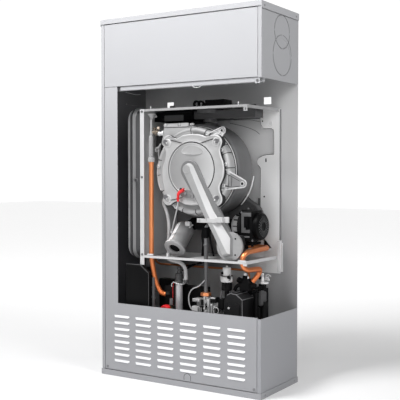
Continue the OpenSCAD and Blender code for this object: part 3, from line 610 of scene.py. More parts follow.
def door():
    """Burner door: four ears, a pressed ring and a dished middle."""
    loops = [(DOOR, 70), (DOOR, 49.5)]
    loops += [(scaled(DOOR, k, AX, AZ), y) for k, y in ((0.992, 47.6), (0.968, 46.6), (0.955, 47.4))]
    for r, y in ((97, 48.0), (91.5, 47.6), (88.6, 46.4), (87.4, 46.6), (86.6, 50.8), (84.8, 50.8),
                 (84.0, 46.4), (82.4, 45.8), (79, 46.8), (60, 50.5), (30, 55.5), (2, 58)):
        ring = []
        for a, b in DOOR:
            reach = min(r, math.hypot(a - AX, b - AZ) * 0.94)
            ring.append(polar(AX, AZ, reach, math.degrees(math.atan2(b - AZ, a - AX))))
        loops.append((ring, y))
    return skin(*loops)


def door_painted_light(centre, normal):
    """Painted light: painted shade in the groove round the disc and on the door's rim, painted shading on the
    disc and a painted highlight on the right edge.
    """
    dark, light, disc = 1, 2, 3
    reach = math.hypot(centre.x - AX / 1000, centre.z - AZ / 1000)
    if reach < 0.0868:
        return disc if reach < 0.0838 and normal.y < -0.5 else dark
    if abs(normal.y) < 0.35 and centre.y > home((0, 50, 0)).y:
        return dark
    return light if normal.x > 0.25 and centre.x > 0.118 else 0


def ears(y, reach):
    """The middles of the door's four ears at a depth, reach above and below the shell's middle."""
    return [(25.5 + sx * 90, y, SHZ + sz * reach) for sx in (-1, 1) for sz in (-1, 1)]


cover = piece("burner_door_casting", [door()], CAST, stands="burner_door", sharp=50)
paint_faces(cover, (CAST_BLACK, CAST_LIGHT, CAST_DISC_SHADED), door_painted_light)

# pressed pad on the upper part of the door, leaning forward towards its top
PAD_X, PAD_Z, PAD_LEAN = 33, 738, 0.14
pad = smooth_loop([(4, 727), (26, 726.5), (50, 727), (66, 731), (70, 737), (62, 746), (44, 753), (24, 755.5),
                   (6, 752), (-8, 743), (-12, 735), (-6, 729)], 4)
rows = [[(a, y - (b - PAD_Z) * PAD_LEAN, b) for a, b in scaled(pad, k, PAD_X, PAD_Z)]
        for k, y in ((1, 55), (1, 48.2), (0.965, 47.2), (0.93, 48), (0.5, 48.6))]
piece("door_pad", [loft(rows)], CAST, sharp=40)

boss = [(13.5, 0), (13.5, 2), (12, 3), (9, 3.2), (8.6, 2.4), (0, 2.4)]
piece("door_bosses", [turned(boss, p, FRONT, 36) for p in ears(49, 89)], CAST)
# painted shade: dark lines in the creases of the door
piece("door_creases", [
    tube([(-60, 46.6, 787), (-44, 46.6, 782), (-28, 46.6, 779)], 0.6, 6, 6),
    tube([(-52, 46.4, 773), (-33, 46.4, 769), (-9, 46.6, 763)], 1.1, 8, 6),
    tube([(107, 46.6, 774), (86, 46.4, 769), (61, 46.6, 762)], 1.1, 8, 6),
    tube([(-52, 46.5, 582), (-30, 46.4, 586), (-6, 46.6, 592)], 0.9, 8, 6),
    tube([(104, 46.5, 581), (82, 46.4, 586), (60, 46.6, 593)], 0.9, 8, 6)
], CAST_BLACK)
# painted highlight along the left of the disc's ridge
piece("disc_ridge", [tube(at_depth(45.8, circle(AX, AZ, 80.5, 22, 128, 132)), 0.9, 3, 6)], CAST_LIGHT)
piece("door_nuts", [hex_nut(p, FRONT, 5.4, 3.4) for p in ears(48, 89.5)]
      + [stud(p, FRONT, 16, (3.2, 3), (2.6, 3.6)) for p in ears(44, 89.5)], CAST, 0.3)


def shell():
    """Cast front shell: a rounded shoulder behind the door, stepping out to the flange."""
    edge = circle(SHX, SHZ, 139, 144)
    return skin(*[(scaled(edge, k, SHX, SHZ), y) for k, y in (
        (0.76, 65), (0.85, 62.5), (0.88, 60.8), (0.905, 59.4), (0.93, 58.8), (0.955, 59.6), (0.98, 63),
        (0.995, 69), (1.0, 75), (1.0, 92))])


def flat_top():
    """The squared upper left corner of the casting."""
    corner = [(-88, 819), (-90, 808), (-90, 796), (-96, 778), (-99, 762), (-80, 745), (10, 745), (22, 776),
              (24, 806), (21, 818)]
    return skin((corner, 90), (corner, 66), (scaled(corner, 0.985, -40, 785), 61.5),
                (scaled(corner, 0.96, -40, 785), 60))


def lug(a, b, nose, r):
    """A triangular lug: a web, its edge from two legs round the nose, an eye and the eye's hole."""
    x, y, z = nose
    face = math.degrees(math.atan2(z - (a[2] + b[2]) / 2, x - (a[0] + b[0]) / 2))
    path = [a, *at_depth(y, circle(x, z, r, 10, face + 80, -160)), b]
    web = loft([path, [(px, py + 2.5, pz) for px, py, pz in path]])
    ring = [(r * 0.3, 0), (r * 0.55, 0), (r * 0.6, 1), (r * 0.6, 4), (r * 0.3, 4)]
    hole = turned([(0, 0), (r * 0.36, 0), (0, 0.3)], (x, y - 4.2, z), FRONT, 20)
    return web, tube(path, 2.3, 3, 8), turned(ring, (x, y + 1, z), FRONT, 28), hole


casting = piece("shell_casting", [shell(), flat_top()], CAST_SHELL, 0.6, stands="hx_shell", sharp=45)
# painted highlight: faces of the shell that look to the right get the lighter cast finish
shading_by_facing(casting, CAST, (0.95, -0.3, -0.05), 0.8)
webs, edges, eyes, holes = zip(
    lug((141, 59, 681), (127, 59, 616), (194, 78, 636), 12),
    lug((73, 59, 786), (124, 59, 774), (121, 78, 801), 10.5),
    lug((-112, 76, 764), (-118, 76, 712), (-127, 80, 744), 8))
piece("shell_lug_webs", webs, CAST_DARK)
piece("shell_lug_edges", edges + eyes, CAST)
# painted shade: dark lines along the lugs' legs, and dark discs for the holes in their eyes
piece("shell_lug_lines", [tube(path, 0.8, 4, 6) for path in (
    [(144, 57, 668), (170, 62, 655), (186, 72, 644)], [(140, 57, 628), (168, 62, 626), (186, 72, 628)],
    [(156, 58, 662), (154, 58, 628)], [(166, 60, 657), (164, 60, 628)],
    [(84, 57, 786), (100, 60, 792), (112, 70, 798)], [(122, 57, 780), (121, 60, 788), (120, 70, 794)]
)], CAST_BLACK)
piece("shell_lug_holes", holes, CAST_BLACK)
# small bosses on the rounded edge
places = ((146, 61, 695), (131, 61, 740), (138, 62, 630), (-108, 62, 690), (86, 61, 560), (-40, 61, 560))
piece("shell_bosses", [
    *[stud(p, FRONT, 24, (6, 5), (4.6, 6.5), (2.6, 6.6), (2.4, 4)) for p in places],
    tube([(-111, 62, 700), (-114, 60, 672), (-110, 60, 640), (-101, 62, 612)], 2.0, 10, 8)
], CAST)

# rail on the flat top, its clips and the boss at the corner
piece("shell_rail", [
    box(-88, 66, 820, 22, 72, 826), box(-84, 64.5, 818, -34, 66, 827), box(-26, 64, 818, 4, 66, 827.5),
    turned([(6, 0), (6, 4), (4.5, 6), (0, 6.2)], (-84, 66, 822), FRONT, 24),
    turned([(5, 0), (5, 3), (3, 5), (0, 5.2)], (-30, 66, 823), FRONT, 20)
], CAST, 0.8)
boss = [(9, 6), (6.5, 8), (6.5, 13), (7.5, 14), (7.5, 19), (5, 22)]
piece("shell_boss", [stud((-90, 66, 797), (-0.97, -0.2, -0.1), 30, *boss)], CAST_LIGHT)
piece("shell_boss_clip", [
    tube([(-116, 62, 812), (-122, 60, 806), (-122, 58, 796), (-116, 60, 790)], 1.6, 4, 8),
    stud((-122, 58, 812), FRONT, 16, (4, 5))
], BRASS_DARK)

# painted shade: dark strips under the rail and at its seams, and dark blocks behind the shell
piece("shell_shade_lines", [
    box(-86, 58.8, 813.8, 20, 66, 815.4), box(-36, 63.5, 817, -34, 72, 826), box(6, 64, 817, 8, 72, 826),
    box(16.6, 59.0, 786, 18, 66, 812), box(-146, 98, 742, -121, 140, 792),
    box(-76, 150, 700, -20, 200, 838), box(-60, 160, 600, -30, 200, 700)
], CAST_BLACK)

# ribs, clamp band and seam between shell and drum; the dark lines at the ribs and in the seams are painted
# shade
RIB = ((120, 64), (124, 60.5), (129, 58.2), (134, 59.4), (138, 65), (139.4, 74), (139.4, 88))
ribs = []
for turn in (92, 68, 60, 47, 36, 24, 4, -20, -40, -50, -62, -84, -106, -128, -150, 164, 186):
    flat = [polar(SHX, SHZ, r, turn) for r, y in RIB]
    ribs.append(tube([(x, y, z) for (x, z), (r, y) in zip(flat, RIB)], 1.2, 3, 8))
piece("shell_rib_shade_lines", ribs, CAST_BLACK)
clamp = [(136, 0), (140.8, 0.3), (142, 1.4), (142, 3.4), (141, 4.4), (136, 4.4)]
piece("clamp_band", [turned(clamp, (SHX, 93, SHZ), REAR, 128)], CAST_LIGHT)
piece("clamp_gap_shade", [turned([(136, 0), (r, 0), (r, w), (136, w)], (SHX, y, SHZ), REAR, 128)
                    for r, w, y in ((140, 2.4, 90.6), (143, 2, 97.4))], CAST_BLACK)

drum = [(140, 0), (146, 1), (148.5, 5), (149.5, 20), (149.5, 78), (147, 88), (141, 98), (130, 105), (60, 107),
        (0, 107)]
piece("drum_housing", [
    turned(drum, (SHX + 1, 98, SHZ + 1), REAR, 128), box(-145, 199, 600, -60, 205, 620),
    box(-145, 199, 740, -60, 205, 760), box(-145, 205, 600, -118, 243, 620),
    box(-145, 205, 740, -118, 243, 760)
], DRUM, 0.5, stands="hx_drum", sharp=40)
# the light bracket edge that follows the drum at its lower right
piece("drum_edge", [tube(at_depth(186, circle(SHX + 1.5, SHZ, 151, 8, -46, 40)), 2.0, 8, 10)], PLATE)
# dark housing wall behind the fan
limb = smooth_loop([(70, 560), (110, 598), (148, 578), (176, 560), (188, 536), (190, 500), (150, 490),
                    (80, 500)], 5)
piece("rear_housing", [skin((limb, 228), (limb, 206), (scaled(limb, 0.96, 130, 540), 201))],
      GREY_DARK, 0.4)

# ---------------------------------------------------------------- inner pieces of the burner

dress(STEEL, 0, "hx_coil", "burner")
dress(CERAMIC, 0, "door_insulation", "spark_electrode")

# view port and the electrode's flange
piece("view_port", [
    turned([(4.2, 0), (4.2, 1.4), (3, 2.0), (0, 1.6)], (-14, 47.5, 617), FRONT, 36)
], CAST_BLACK)
flange = smooth_loop([(-16, 604), (-8, 594), (8, 590), (30, 589), (38, 598), (32, 610), (8, 615),
                      (-8, 612)], 4)
piece("spark_flange", [
    slab(flange, 43.5, 50), screw_head((24, 43.5, 600), FRONT, 4.2, 2.4), box(29, 41, 588, 37, 44.5, 612),
    stud((8, 43.5, 604), FRONT, 20, (4.4, 5), (3, 6))
], CAST_DARK, 0.6)
piece("spark_boot", [
    tube([(3, 37.5, 615), (-13, 36.5, 607), (-16.5, 36, 600), (-17, 36, 578)], 4.6, 6, 20,
         lambda t: 4.8 if t < 0.9 else 3.8),
    turned([(5.2, 0), (5.6, 1.5), (5.6, 4), (4.8, 5)], (5, 37.5, 616), (-0.97, -0.04, -0.2), 24),
    turned([(5.6, 0), (5.6, 3)], (-17, 36, 590), DOWN, 24)
], RED, 0.3, stands="spark_cap")
route = [(-17, 36, 579), (-20, 37, 560), (-30, 42, 536), (-48, 54, 500), (-57, 61, 484), (-60, 63, 479)]
piece("spark_wire", [
    tube(route, 2.1, 16, 14),
    turned([(3.6, 0), (4.0, 2), (4.0, 7), (2.6, 9), (0, 9)], (-58.5, 62, 483), (-0.42, 0.28, -0.86), 18)
], HOSE, stands="spark_lead")

# ---------------------------------------------------------------- gas and air


def arm(front, back):
    """The duct's front half: a narrow front face with walls that spread to a wider back."""
    cx = sum(a for a, b in front) / len(front)
    cz = sum(b for a, b in front) / len(front)
    mid = [(a + (c - a) * 0.10, b + (d - b) * 0.10) for (a, b), (c, d) in zip(front, back)]
    near = [(cx + (a - cx) * 0.99, cz + (b - cz) * 0.997) for a, b in front]
    return skin((back, 44), (mid, 26.5), (near, 24.5))


def arm_face(cx, cz, r, *foot):
    """An outline of the arm: its axis falls to the right at 56 degrees, with a round end at the top."""
    return circle(cx, cz, r, 12, 214, -180) + list(foot)


front_face = arm_face(21, 680, 13, (97, 549), (137, 480), (171, 424), (154, 418), (122, 478), (79.5, 549))
back_face = arm_face(19, 679, 21, (110, 553), (171, 470), (170, 419), (150, 412), (112, 476), (73, 546))
wide_face = arm_face(19, 678, 31, (130, 552), (168, 487), (180, 468), (180, 415), (150, 410), (114, 472),
                     (73, 542))
duct = piece("duct_front", [arm(front_face, back_face)], DUCT, 0.8, stands="mixing_duct", sharp=30)
# painted highlight on the duct's faces that look right and up
shading_by_facing(duct, DUCT_HIGHLIGHT, (0.87, -0.25, 0.45), 0.55)
piece("duct_end", [
    turned([(13.5, 0), (13, 1.2), (11.6, 1.4), (11, 0.7), (0, 0.7)], (22, 24.4, 680.5), FRONT, 40)
], DUCT)
piece("duct_rear", [skin((wide_face, 58), (wide_face, 44), (scaled(wide_face, 0.992, 90, 560), 43))],
      CAST_DARK, 0.6)
# the flange is a disc with a flat foot
FLANGE_X, FLANGE_Z = 166, 444
flange = [(x, max(z, FLANGE_Z - 41)) for x, z in circle(FLANGE_X, FLANGE_Z, 45, 72)]
piece("duct_flange", [
    slab(flange, 44, 53), turned([(24, 0), (24, 9)], (FLANGE_X, 60, FLANGE_Z), FRONT, 48)
], CAST_MID, 1.2)
places = at_depth(43.8, [polar(FLANGE_X, FLANGE_Z, 33, turn) for turn in (48, -50, 130, 228)])
piece("duct_screws", [screw_head(p, FRONT, 2.7, 1.2) for p in places], BLACK_MATT)
# the clamp across the arm and its two tabs
piece("duct_clamp", [
    box(52, 38, 514, 98, 44, 527), box(98, 22.5, 516, 130, 26, 529), box(126, 24, 517, 152, 44, 533),
    box(150, 40, 516, 166, 46, 534), stud((60, 38, 521), FRONT, 20, (5, 3), (3, 4))
], CAST, 1.2)

# ---------------------------------------------------------------- fan

FY, FZ = 144.0, 502.0                    # the fan's axis, which runs to the right
MOTOR_Y = 142

outlet = round_rect(136, 192, 420, 476, 8)
piece("fan_casing", [
    skin((outlet, 62), (outlet, 92), (scaled(outlet, 0.9, 160, 450), 104),
         (scaled(outlet, 0.8, 152, 462), 130))
], CAST_BLACK, 0.5, stands="fan_volute", sharp=40)
piece("fan_scroll", [
    turned([(14, 128), (26, 130), (32, 134), (35, 139), (35, 160), (0, 162)], (0, FY, FZ), RIGHT, 96)
], CAST)
piece("fan_intake", [
    turned([(18, -12), (18.5, -12), (21, -8), (21, 118), (22, 123), (18, 125)], (0, FY, FZ), RIGHT, 48),
    turned([(0, 162), (47, 162), (47, 173), (0, 173)], (0, FY, FZ), RIGHT, 64)
], BLACK)
dress(BLACK_MATT, 0, "fan_impeller")
dress(LIGHT, 0, "pump_rotor")

end_cap = [(0, 0), (40, 0), (42, 2), (42, 16), (38, 20), (33, 21), (13, 21), (11, 19.5), (0, 19.5)]
piece("fan_motor_case", [
    slab(round_rect(100, 166, 456, 552, 6), 171, 214, "x"), turned(end_cap, (212, MOTOR_Y, FZ), RIGHT, 64),
    box(176, 104, 548, 192, 140, 555), *[box(173, 166, z, 210, 168.5, z + 4) for z in range(462, 552, 9)]
], BLACK, 1.0, stands="fan_motor")
piece("fan_motor_ribs", [
    tube([(232.6, *polar(MOTOR_Y, FZ, r, turn)) for r in (14, 33)], 1.0, 2, 6) for turn in range(0, 360, 15)
], GREY_DARK)
# front of the motor: a grey hooked frame round a connector
piece("fan_motor_frame", [
    box(178, 97, 534, 212, 100.5, 546), box(178, 97, 483, 193, 100.5, 536),
    box(193, 97.6, 483, 207, 100.5, 493), box(174, 98, 468, 206, 100.5, 473)
], GREY_MID, 0.8)
piece("fan_plug", [
    box(190, 92, 500, 203, 100, 534), box(192, 90, 506, 201, 92, 528), box(174, 104, 440, 180, 112, 456),
    box(208, 104, 440, 214, 112, 456)
], BLACK_MATT, 0.8)
piece("fan_motor_screws", [
    *[screw_head((x, 99.6, z), FRONT, 3, 1.6) for x, z in ((177, 546), (177, 460), (216, 460))],
    stud((184, 130, 554), UP, 16, (4, 4), (2, 6))
], SCREW)
# drive housing below the fan
piece("fan_foot", [box(172, 108, 444, 206, 176, 452), box(176, 100, 434, 196, 112, 446)], BLACK_MATT, 1.5)

# ---------------------------------------------------------------- silencer

tilt = Vector((-0.016, 0.727, 0.687)).normalized()
mouth = Vector((-49, 62, 424))
silencer = [(0, 62), (12, 62), (17.5, 60), (17.8, 6), (18.6, 1.5), (20.5, 0), (31, 0), (34.5, 0.8), (36.2, 3),
            (36.2, 8), (34, 11), (31.2, 12), (31, 15), (31, 86), (30, 92), (26, 97), (14, 98), (0, 98)]
elbow = [(-49, 126, 484), (-44, 138, 496), (-34, FY, FZ), (-12.5, FY, FZ)]
piece("silencer_elbow", [
    # the black disc inside the mouth is painted shade
    tube(elbow, 15.5, 14, 24), turned([(17.4, 0), (0, 0)], mouth + tilt * 5, -tilt, 40),
    turned([(18, 0), (20, 2), (20, 12), (18, 14)], (-34, FY, FZ), RIGHT, 32)
], BLACK_MATT)
can = piece("silencer_body", [turned(silencer, mouth, tilt)], GREY_SILENCER, stands="intake_silencer")
# painted highlight on the faces of the silencer that look up and to the front left
shading_by_facing(can, SIL_HIGHLIGHT, (-0.35, -0.62, 0.70), 0.95)
clip = [mouth + tilt * 88 + Vector(p) for p in ((26, -14, 6), (34, -16, 12), (38, -10, 16))]
piece("silencer_clips", [
    tube(clip, 2.6, 6, 10), box(-28, 92, 498, -10, 100, 512),
    turned([(7, 0), (8, 1), (8, 16), (6, 18), (0, 18)], (-28, 98, 504), (1, 0.1, 0), 24)
], CAST, 0.8)

# ---------------------------------------------------------------- gas pipe and valve

GX, GY = 55.0, 88.0                      # the gas pipe's axis, which is upright
piece("gas_pipe_tube", [
    tube([(GX, GY, 286), (GX, GY, 502), (GX, 125, 502)], 6.4, 22, 24),
    turned([(7.6, 0), (8, 1), (8, 6), (6.4, 8)], (GX, GY, 436), UP, 28)
], PIPE_GREY, stands="gas_pipe")
piece("gas_sleeve", [
    turned([(7, 0), (8.6, 1), (8.6, 22), (7.4, 24), (7.4, 32), (6.6, 34)], (GX, GY, 462), UP, 28),
    tube([(45, 92, 498), (40, 92, 470), (43, 94, 440), (36, 98, 404)], 5, 10, 12),
    tube([(65, 92, 498), (66, 92, 470), (70, 96, 440), (76, 100, 404)], 3.4, 10, 12)
], BLACK_MATT, 0.6)
piece("gas_nut", [hex_nut((GX, GY, 278), UP, 17, 11)], NUT_COPPER, 0.5)
piece("gas_valve_body", [
    box(22, 84, 214, 100, 116, 262), box(16, 68, 259, 44, 100, 269), box(57, 70, 225, 63, 100, 278),
    box(65, 72, 240, 70, 100, 276), box(72, 68, 225, 79, 100, 272), box(18, 62, 230, 42, 84, 246),
    box(83, 70, 224, 88, 92, 257), box(91, 72, 228, 98, 92, 250),
    stud((GX, GY, 266), UP, 32, (13, 3), (10, 5), (10, 12)), stud((31, 68, 264), FRONT, 20, (5, 4), (3.5, 6)),
    stud((68, 70, 262), FRONT, 20, (6, 5), (4, 7)), stud((66, 74, 232), FRONT, 18, (4.5, 6)),
    stud((GX, GY, 150), UP, 28, (10, 46), (8, 48))
], CAST_MID, 1.2, stands="gas_valve")
piece("gas_valve_coil", [
    box(44, 66, 226, 56, 84, 246), box(46, 64, 230, 50, 66, 242), box(80, 74, 260, 100, 96, 276),
    box(88, 88, 240, 118, 116, 272), box(48, 69, 250, 56, 84, 268), stud((104, 70, 238), REAR, 28, (9, 10)),
    box(64, 69, 244, 71, 73, 250)
], BLACK, 1.2)
places = ((26, 67.8, 263), (38, 67.8, 263), (86, 69.8, 252), (60, 69.8, 240))
piece("gas_valve_plate", [
    box(19, 59.5, 232, 40, 62, 245), box(18, 66.5, 266.5, 42, 70, 269.5), box(82, 72, 273, 98, 76, 277),
    box(58, 68.5, 268, 62, 70, 277), box(73, 66.5, 246, 78, 68, 270), box(46, 62.6, 230, 48, 64, 244),
    box(51, 62.6, 230, 53, 64, 244), turned([(10.2, 0), (10.2, 2), (8.6, 2)], (104, 69, 238), FRONT, 28),
    *[screw_head(p, FRONT, 3.2, 2) for p in places]
], CAST_LIGHT, 0.5)

# ---------------------------------------------------------------- expansion vessel

rim = round_rect(72, 232, 382, 886, 36, 10)


def vessel_half(x_rim, x_top):
    """One pressed shell: its rim rounded over to a flat side; k shrinks the rim and t runs to the side."""
    mid_y, mid_z = 152, 634
    rows = []
    for k, t in ((1.0, 0.0), (1.0, 0.10), (0.975, 0.16), (0.965, 0.45), (0.945, 0.72), (0.91, 0.90),
                 (0.86, 0.985), (0.80, 1.0), (0.3, 1.0)):
        kz = 1 - (1 - k) * 0.42
        rows.append([(x_rim + (x_top - x_rim) * t, mid_y + (a - mid_y) * k, mid_z + (b - mid_z) * kz)
                     for a, b in rim])
    return loft(rows)


def vessel_painted_light(centre, normal):
    """Painted light: a painted highlight on the bead on the left, painted shade on the front edge and lighter
    painted shade on its flank.
    """
    light, dark, flank = 1, 2, 3
    x = centre.x * 1000
    if x < -236:
        return light
    if normal.y < -0.25 and x > -231:
        return flank if -223 < x < -213 else dark
    return 0


vessel = piece("vessel_body", [vessel_half(-226, -250), vessel_half(-224, -198)], VESSEL,
               stands="vessel_shells", sharp=60)
paint_faces(vessel, (VESSEL_HIGHLIGHT, VESSEL_DARK, VESSEL_HALF_SHADE), vessel_painted_light)
dress(BLACK_MATT, 0, "vessel_diaphragm")
piece("vessel_valve", [
    turned([(7, 0), (7, 4), (4, 6), (4, 14), (5, 15), (5, 19), (0, 20)], (-212, 80, 645), FRONT, 24)
], GREY)
route = [(-212, 185, 382), (-212, 188, 364), (-203, 200, 354), (140, 200, 354), (150, 200, 344),
         (150, 200, 285)]
piece("vessel_pipe", [tube(route, 3.6, 9, 14)], COPPER_DARK, stands="vessel_line")

# ---------------------------------------------------------------- pipes

piece("vent_tube_bent", [
    tube([(-127, 45, 722), (-127, 45, 842), (-125, 52, 850), (-118, 62, 852)], 3.6, 8, 18),
    turned([(6, 0), (7.4, 0.5), (7.8, 2), (7.4, 68), (6, 72), (4, 74)], (-128, 45, 716), UP, 32),
    turned([(3.8, 0), (6, 4), (9, 10), (13, 15), (14, 17), (0, 17)], (-125, 45, 842), UP, 24),
    turned([(10, 0), (11.5, 1), (11.5, 13), (10, 14.5), (7, 16), (5.5, 20), (4.4, 22)],
           (-127, 45, 704), UP, 30),
    turned([(4.4, 0), (5, 2), (5, 10), (4.4, 12)], (-127, 45, 790), UP, 24)
], CAST_MID, stands="vent_tube")
piece("vent_tee", [
    tube([(-126, 46, 799), (-119, 56, 802), (-112, 66, 802)], 5, 8, 18),
    turned([(6.8, 0), (6.8, 6), (5.5, 8)], (-122, 52, 800), (0.6, 0.78, 0.05), 6),
    stud((-108, 60, 812), (0.2, -0.8, 0.5), 16, (5, 5), (3, 6))
], BRASS_DARK, 0.3)
route = [(-127, 45, 706), (-127, 45, 396), (-122, 46, 364), (-117, 49, 330), (-109, 53, 301), (-99, 57, 282),
         (-90, 60, 276), (-79, 63, 275)]
piece("flow_copper", [
    tube(route, 7.8, 22, 28), turned([(8.6, 0), (9.2, 2), (9.2, 7), (8.6, 9)], (-127, 45, 697), UP, 28)
], COPPER, stands="flow_pipe")
piece("flow_union", [hex_nut((-82, 62.2, 275.3), (0.93, 0.33, 0.05), 10.5, 16)], BLACK, 0.6)
route = [(120, 207, 433), (208, 206, 431), (219, 192, 430), (217, 62, 427), (211, 46, 412), (211, 48, 386),
         (220, 58, 372.5), (225, 112, 371.5), (227, 132, 369), (219, 135, 352), (204, 122, 329)]
piece("return_copper", [tube(route, 8.0, 12, 28)], COPPER, stands="return_pipe")
drain = [(-104, 112, 594), (-112, 94, 583), (-112, 90, 570), (-97, 91, 540), (-90, 93, 500), (-94, 95, 453),
         (-94, 95, 396)]
to_trap = [(-84, 80, 388), (-62, 76, 384), (-34, 72, 381), (-16, 72, 370), (-11, 72, 350), (-11, 72, 324)]
piece("hose_run", [tube(drain, 5.4, 26, 22), tube(to_trap, 6.1, 18, 22)], HOSE, stands="hoses")
route = [(54, 84, 330), (46, 74, 316), (34, 70, 306), (17, 70, 301), (5, 70, 288), (0, 70, 270), (4, 70, 246),
         (10, 72, 234)]
piece("sensor_wire", [tube(route, 1.9, 14, 12)], HOSE)
piece("wiring", [
    tube([(-56, 120, 348), (-27, 120, 362), (0, 120, 373), (27, 120, 386), (48, 124, 392)], 2.6, 14, 10),
    tube([(-74, 150, 356), (-30, 150, 366), (5, 150, 375), (34, 154, 384)], 2.6, 14, 10)
], BLACK_MATT)

# ---------------------------------------------------------------- condensate trap

TX, TY = -42.0, 80.0                     # the trap's axis, which is upright
piece("trap_tube", [
    turned([(11.3, 0), (11.5, 1), (11.5, 104), (12.6, 105), (12.6, 108), (10, 109)], (TX, TY, 204), UP, 32)
], STEEL_LIGHT, stands="condensate_trap")
cap = [(11, 0), (14, 0.5), (14.5, 2), (14.5, 5), (12, 7)]
for z in (7, 13, 19, 25):
    cap += [(11.5, z), (13.2, z + 1), (13.2, z + 4), (11.5, z + 5)]
cap += [(8, 31), (7.4, 33), (7.4, 39), (6, 40), (6, 43), (7.4, 44), (7.4, 49), (5, 51), (0, 51)]
piece("trap_cap", [
    turned(cap, (TX, TY, 314), UP, 32),
    turned([(7.4, 0), (7.8, 2), (7.8, 8), (6.6, 9)], (-11, 72, 318), UP, 24),
    stud((-62, 92, 240), UP, 20, (7, 60))
], GREY_DARK, 0.8)
ring = []
for turn in range(0, 361, 20):
    a = math.radians(turn)
    ring.append((TX + 21 * math.cos(a), TY + 15 * math.sin(a), 313 + 2.5 * math.sin(a * 2)))
piece("trap_ring", [
    tube(ring, 1.5, 4, 8), tube([(-64, 78, 314), (-68, 74, 308), (-66, 72, 300)], 1.4, 3, 8),
    tube([(-21, 72, 316), (-17, 70, 322), (-20, 70, 328)], 1.4, 3, 8)
], LIGHT)
piece("trap_wires", [tube([(-60, 76, 312), (-63, 74, 300), (-63, 74, 236)], 0.8, 6, 8)], RED)

# ---------------------------------------------------------------- hydraulic group

pump_front = [(124, 205), (191, 205), (191, 276), (170, 292), (148, 294), (135, 288), (124, 268)]
piece("pump_motor", [
    skin((pump_front, 157), (pump_front, 84), (scaled(pump_front, 0.95, 158, 246), 80)),
    slab(round_rect(138, 182, 216, 262, 8), 76, 80), box(146, 96, 292, 166, 140, 297)
], PUMP_BLACK, 1.8, stands="pump_head")
piece("pump_screw", [screw_head((146, 75.5, 248), FRONT, 3.8, 2)], LIGHT)
front_edge = at_depth(82.5, [(136, 287), (148, 293), (169, 291), (189.5, 275.5), (190.5, 208)])
rear_edge = [(136, 155, 288), (148, 156, 294), (170, 156, 292), (191, 156, 276), (191, 156, 230)]
lid = [(150, 96, 297), (164, 96, 297), (164, 138, 297), (148, 138, 297)]
# painted highlights: grey lines along the black pump's edges
piece("pump_edge_highlights", [tube(path, r, 3, 8) for path, r in (
    (front_edge, 1.5), ([(148, 83, 293.5), (146, 150, 294)], 1.1), ([(170, 83, 291.5), (170, 154, 292)], 1.3),
    ([(191, 83, 276), (191, 156, 276)], 1.2), (rear_edge, 1.1), (lid, 0.9)
)], GREY)
dress(GREY, 1.0, "pump_body")
dress(BLACK, 2.0, "left_block")
piece("hydraulic_block", [
    box(105, 222.2, 110, 200, 240, 296), box(190, 150, 150, 220, 166, 296),
    box(221, 108, 215, 228, 116, 298), box(-150, 120, 150, -64, 150, 316), box(-64, 120, 150, 34, 150, 298),
    box(196, 168, 150, 222, 176, 300), box(214, 122, 150, 230, 136, 250),
    box(105, 150, 110, 140, 222.2, 170), box(72, 150, 138, 105, 182, 200), box(0, 118, 150, 140, 150, 170)
], BLACK, 2.0, stands="right_block")
sleeve = [(9.4, 0), (10.8, 0), (10.8, 72.5), (9.4, 72.5), (9.4, 0)]
piece("stem_sleeve", [turned(sleeve, (239, 139, 196), UP, 40)], BLACK)
dress(BRASS, 0.4, "safety_valve")
dress(STEEL, 0.3, "plate_pack", "end_plates")
dress(STEEL, 0, "diverter_stem")
dress(BRASS, 0.5, "connection_set")
dress(YELLOW, 1.0, "gas_lever")
dress(BLUE, 1.0, "cold_lever")

VX, VY = 119.0, 110.0                    # the air vent's axis, which is upright
vent = [(17, 0), (19.5, 1.5), (19.5, 7), (18, 10), (18, 14), (15, 18), (13.2, 20), (13.2, 44), (12, 46),
        (5, 47), (3, 47.4), (3, 51), (1.8, 52), (0, 52)]
piece("air_vent_body", [
    turned(vent, (VX, VY, 324), UP, 40), stud((VX - 19, VY - 2, 328), UP, 12, (2.6, 14)),
    stud((VX + 19, VY - 4, 334), UP, 12, (2, 9))
], WHITE, stands="air_vent")
piece("air_vent_barrel", [
    turned([(12, 0), (16.5, 2), (16.5, 27), (15, 28), (0, 28)], (VX, VY, 297), UP, 36),
    stud((VX + 12, VY - 10, 341), (0.75, -0.5, 0), 20, (5.5, 9), (4.5, 10)),
    stud((VX, VY, 176), UP, 24, (7, 122)), stud((VX - 9, VY - 11, 353), (-0.4, -0.9, 0), 14, (4.4, 4)),
    stud((VX, VY, 343), UP, 36, (18.6, 1.6)), box(VX - 7, VY - 20, 304, VX + 5, VY - 14, 318)
], BLACK)
spring = [(VX + 17, VY - 14, 350), (VX + 22, VY - 14, 344), (VX + 21, VY - 14, 334), (VX + 16, VY - 16, 332)]
piece("air_vent_spring", [
    tube(spring, 1.2, 3, 8),
    tube([(VX - 22, VY - 6, 350), (VX - 23, VY - 6, 332), (VX - 20, VY - 6, 326)], 1.1, 3, 8),
    tube([(VX - 12, VY - 12, 296), (VX - 16, VY - 12, 270), (VX - 12, VY - 12, 240)], 3.0, 8, 10)
], SCREW)

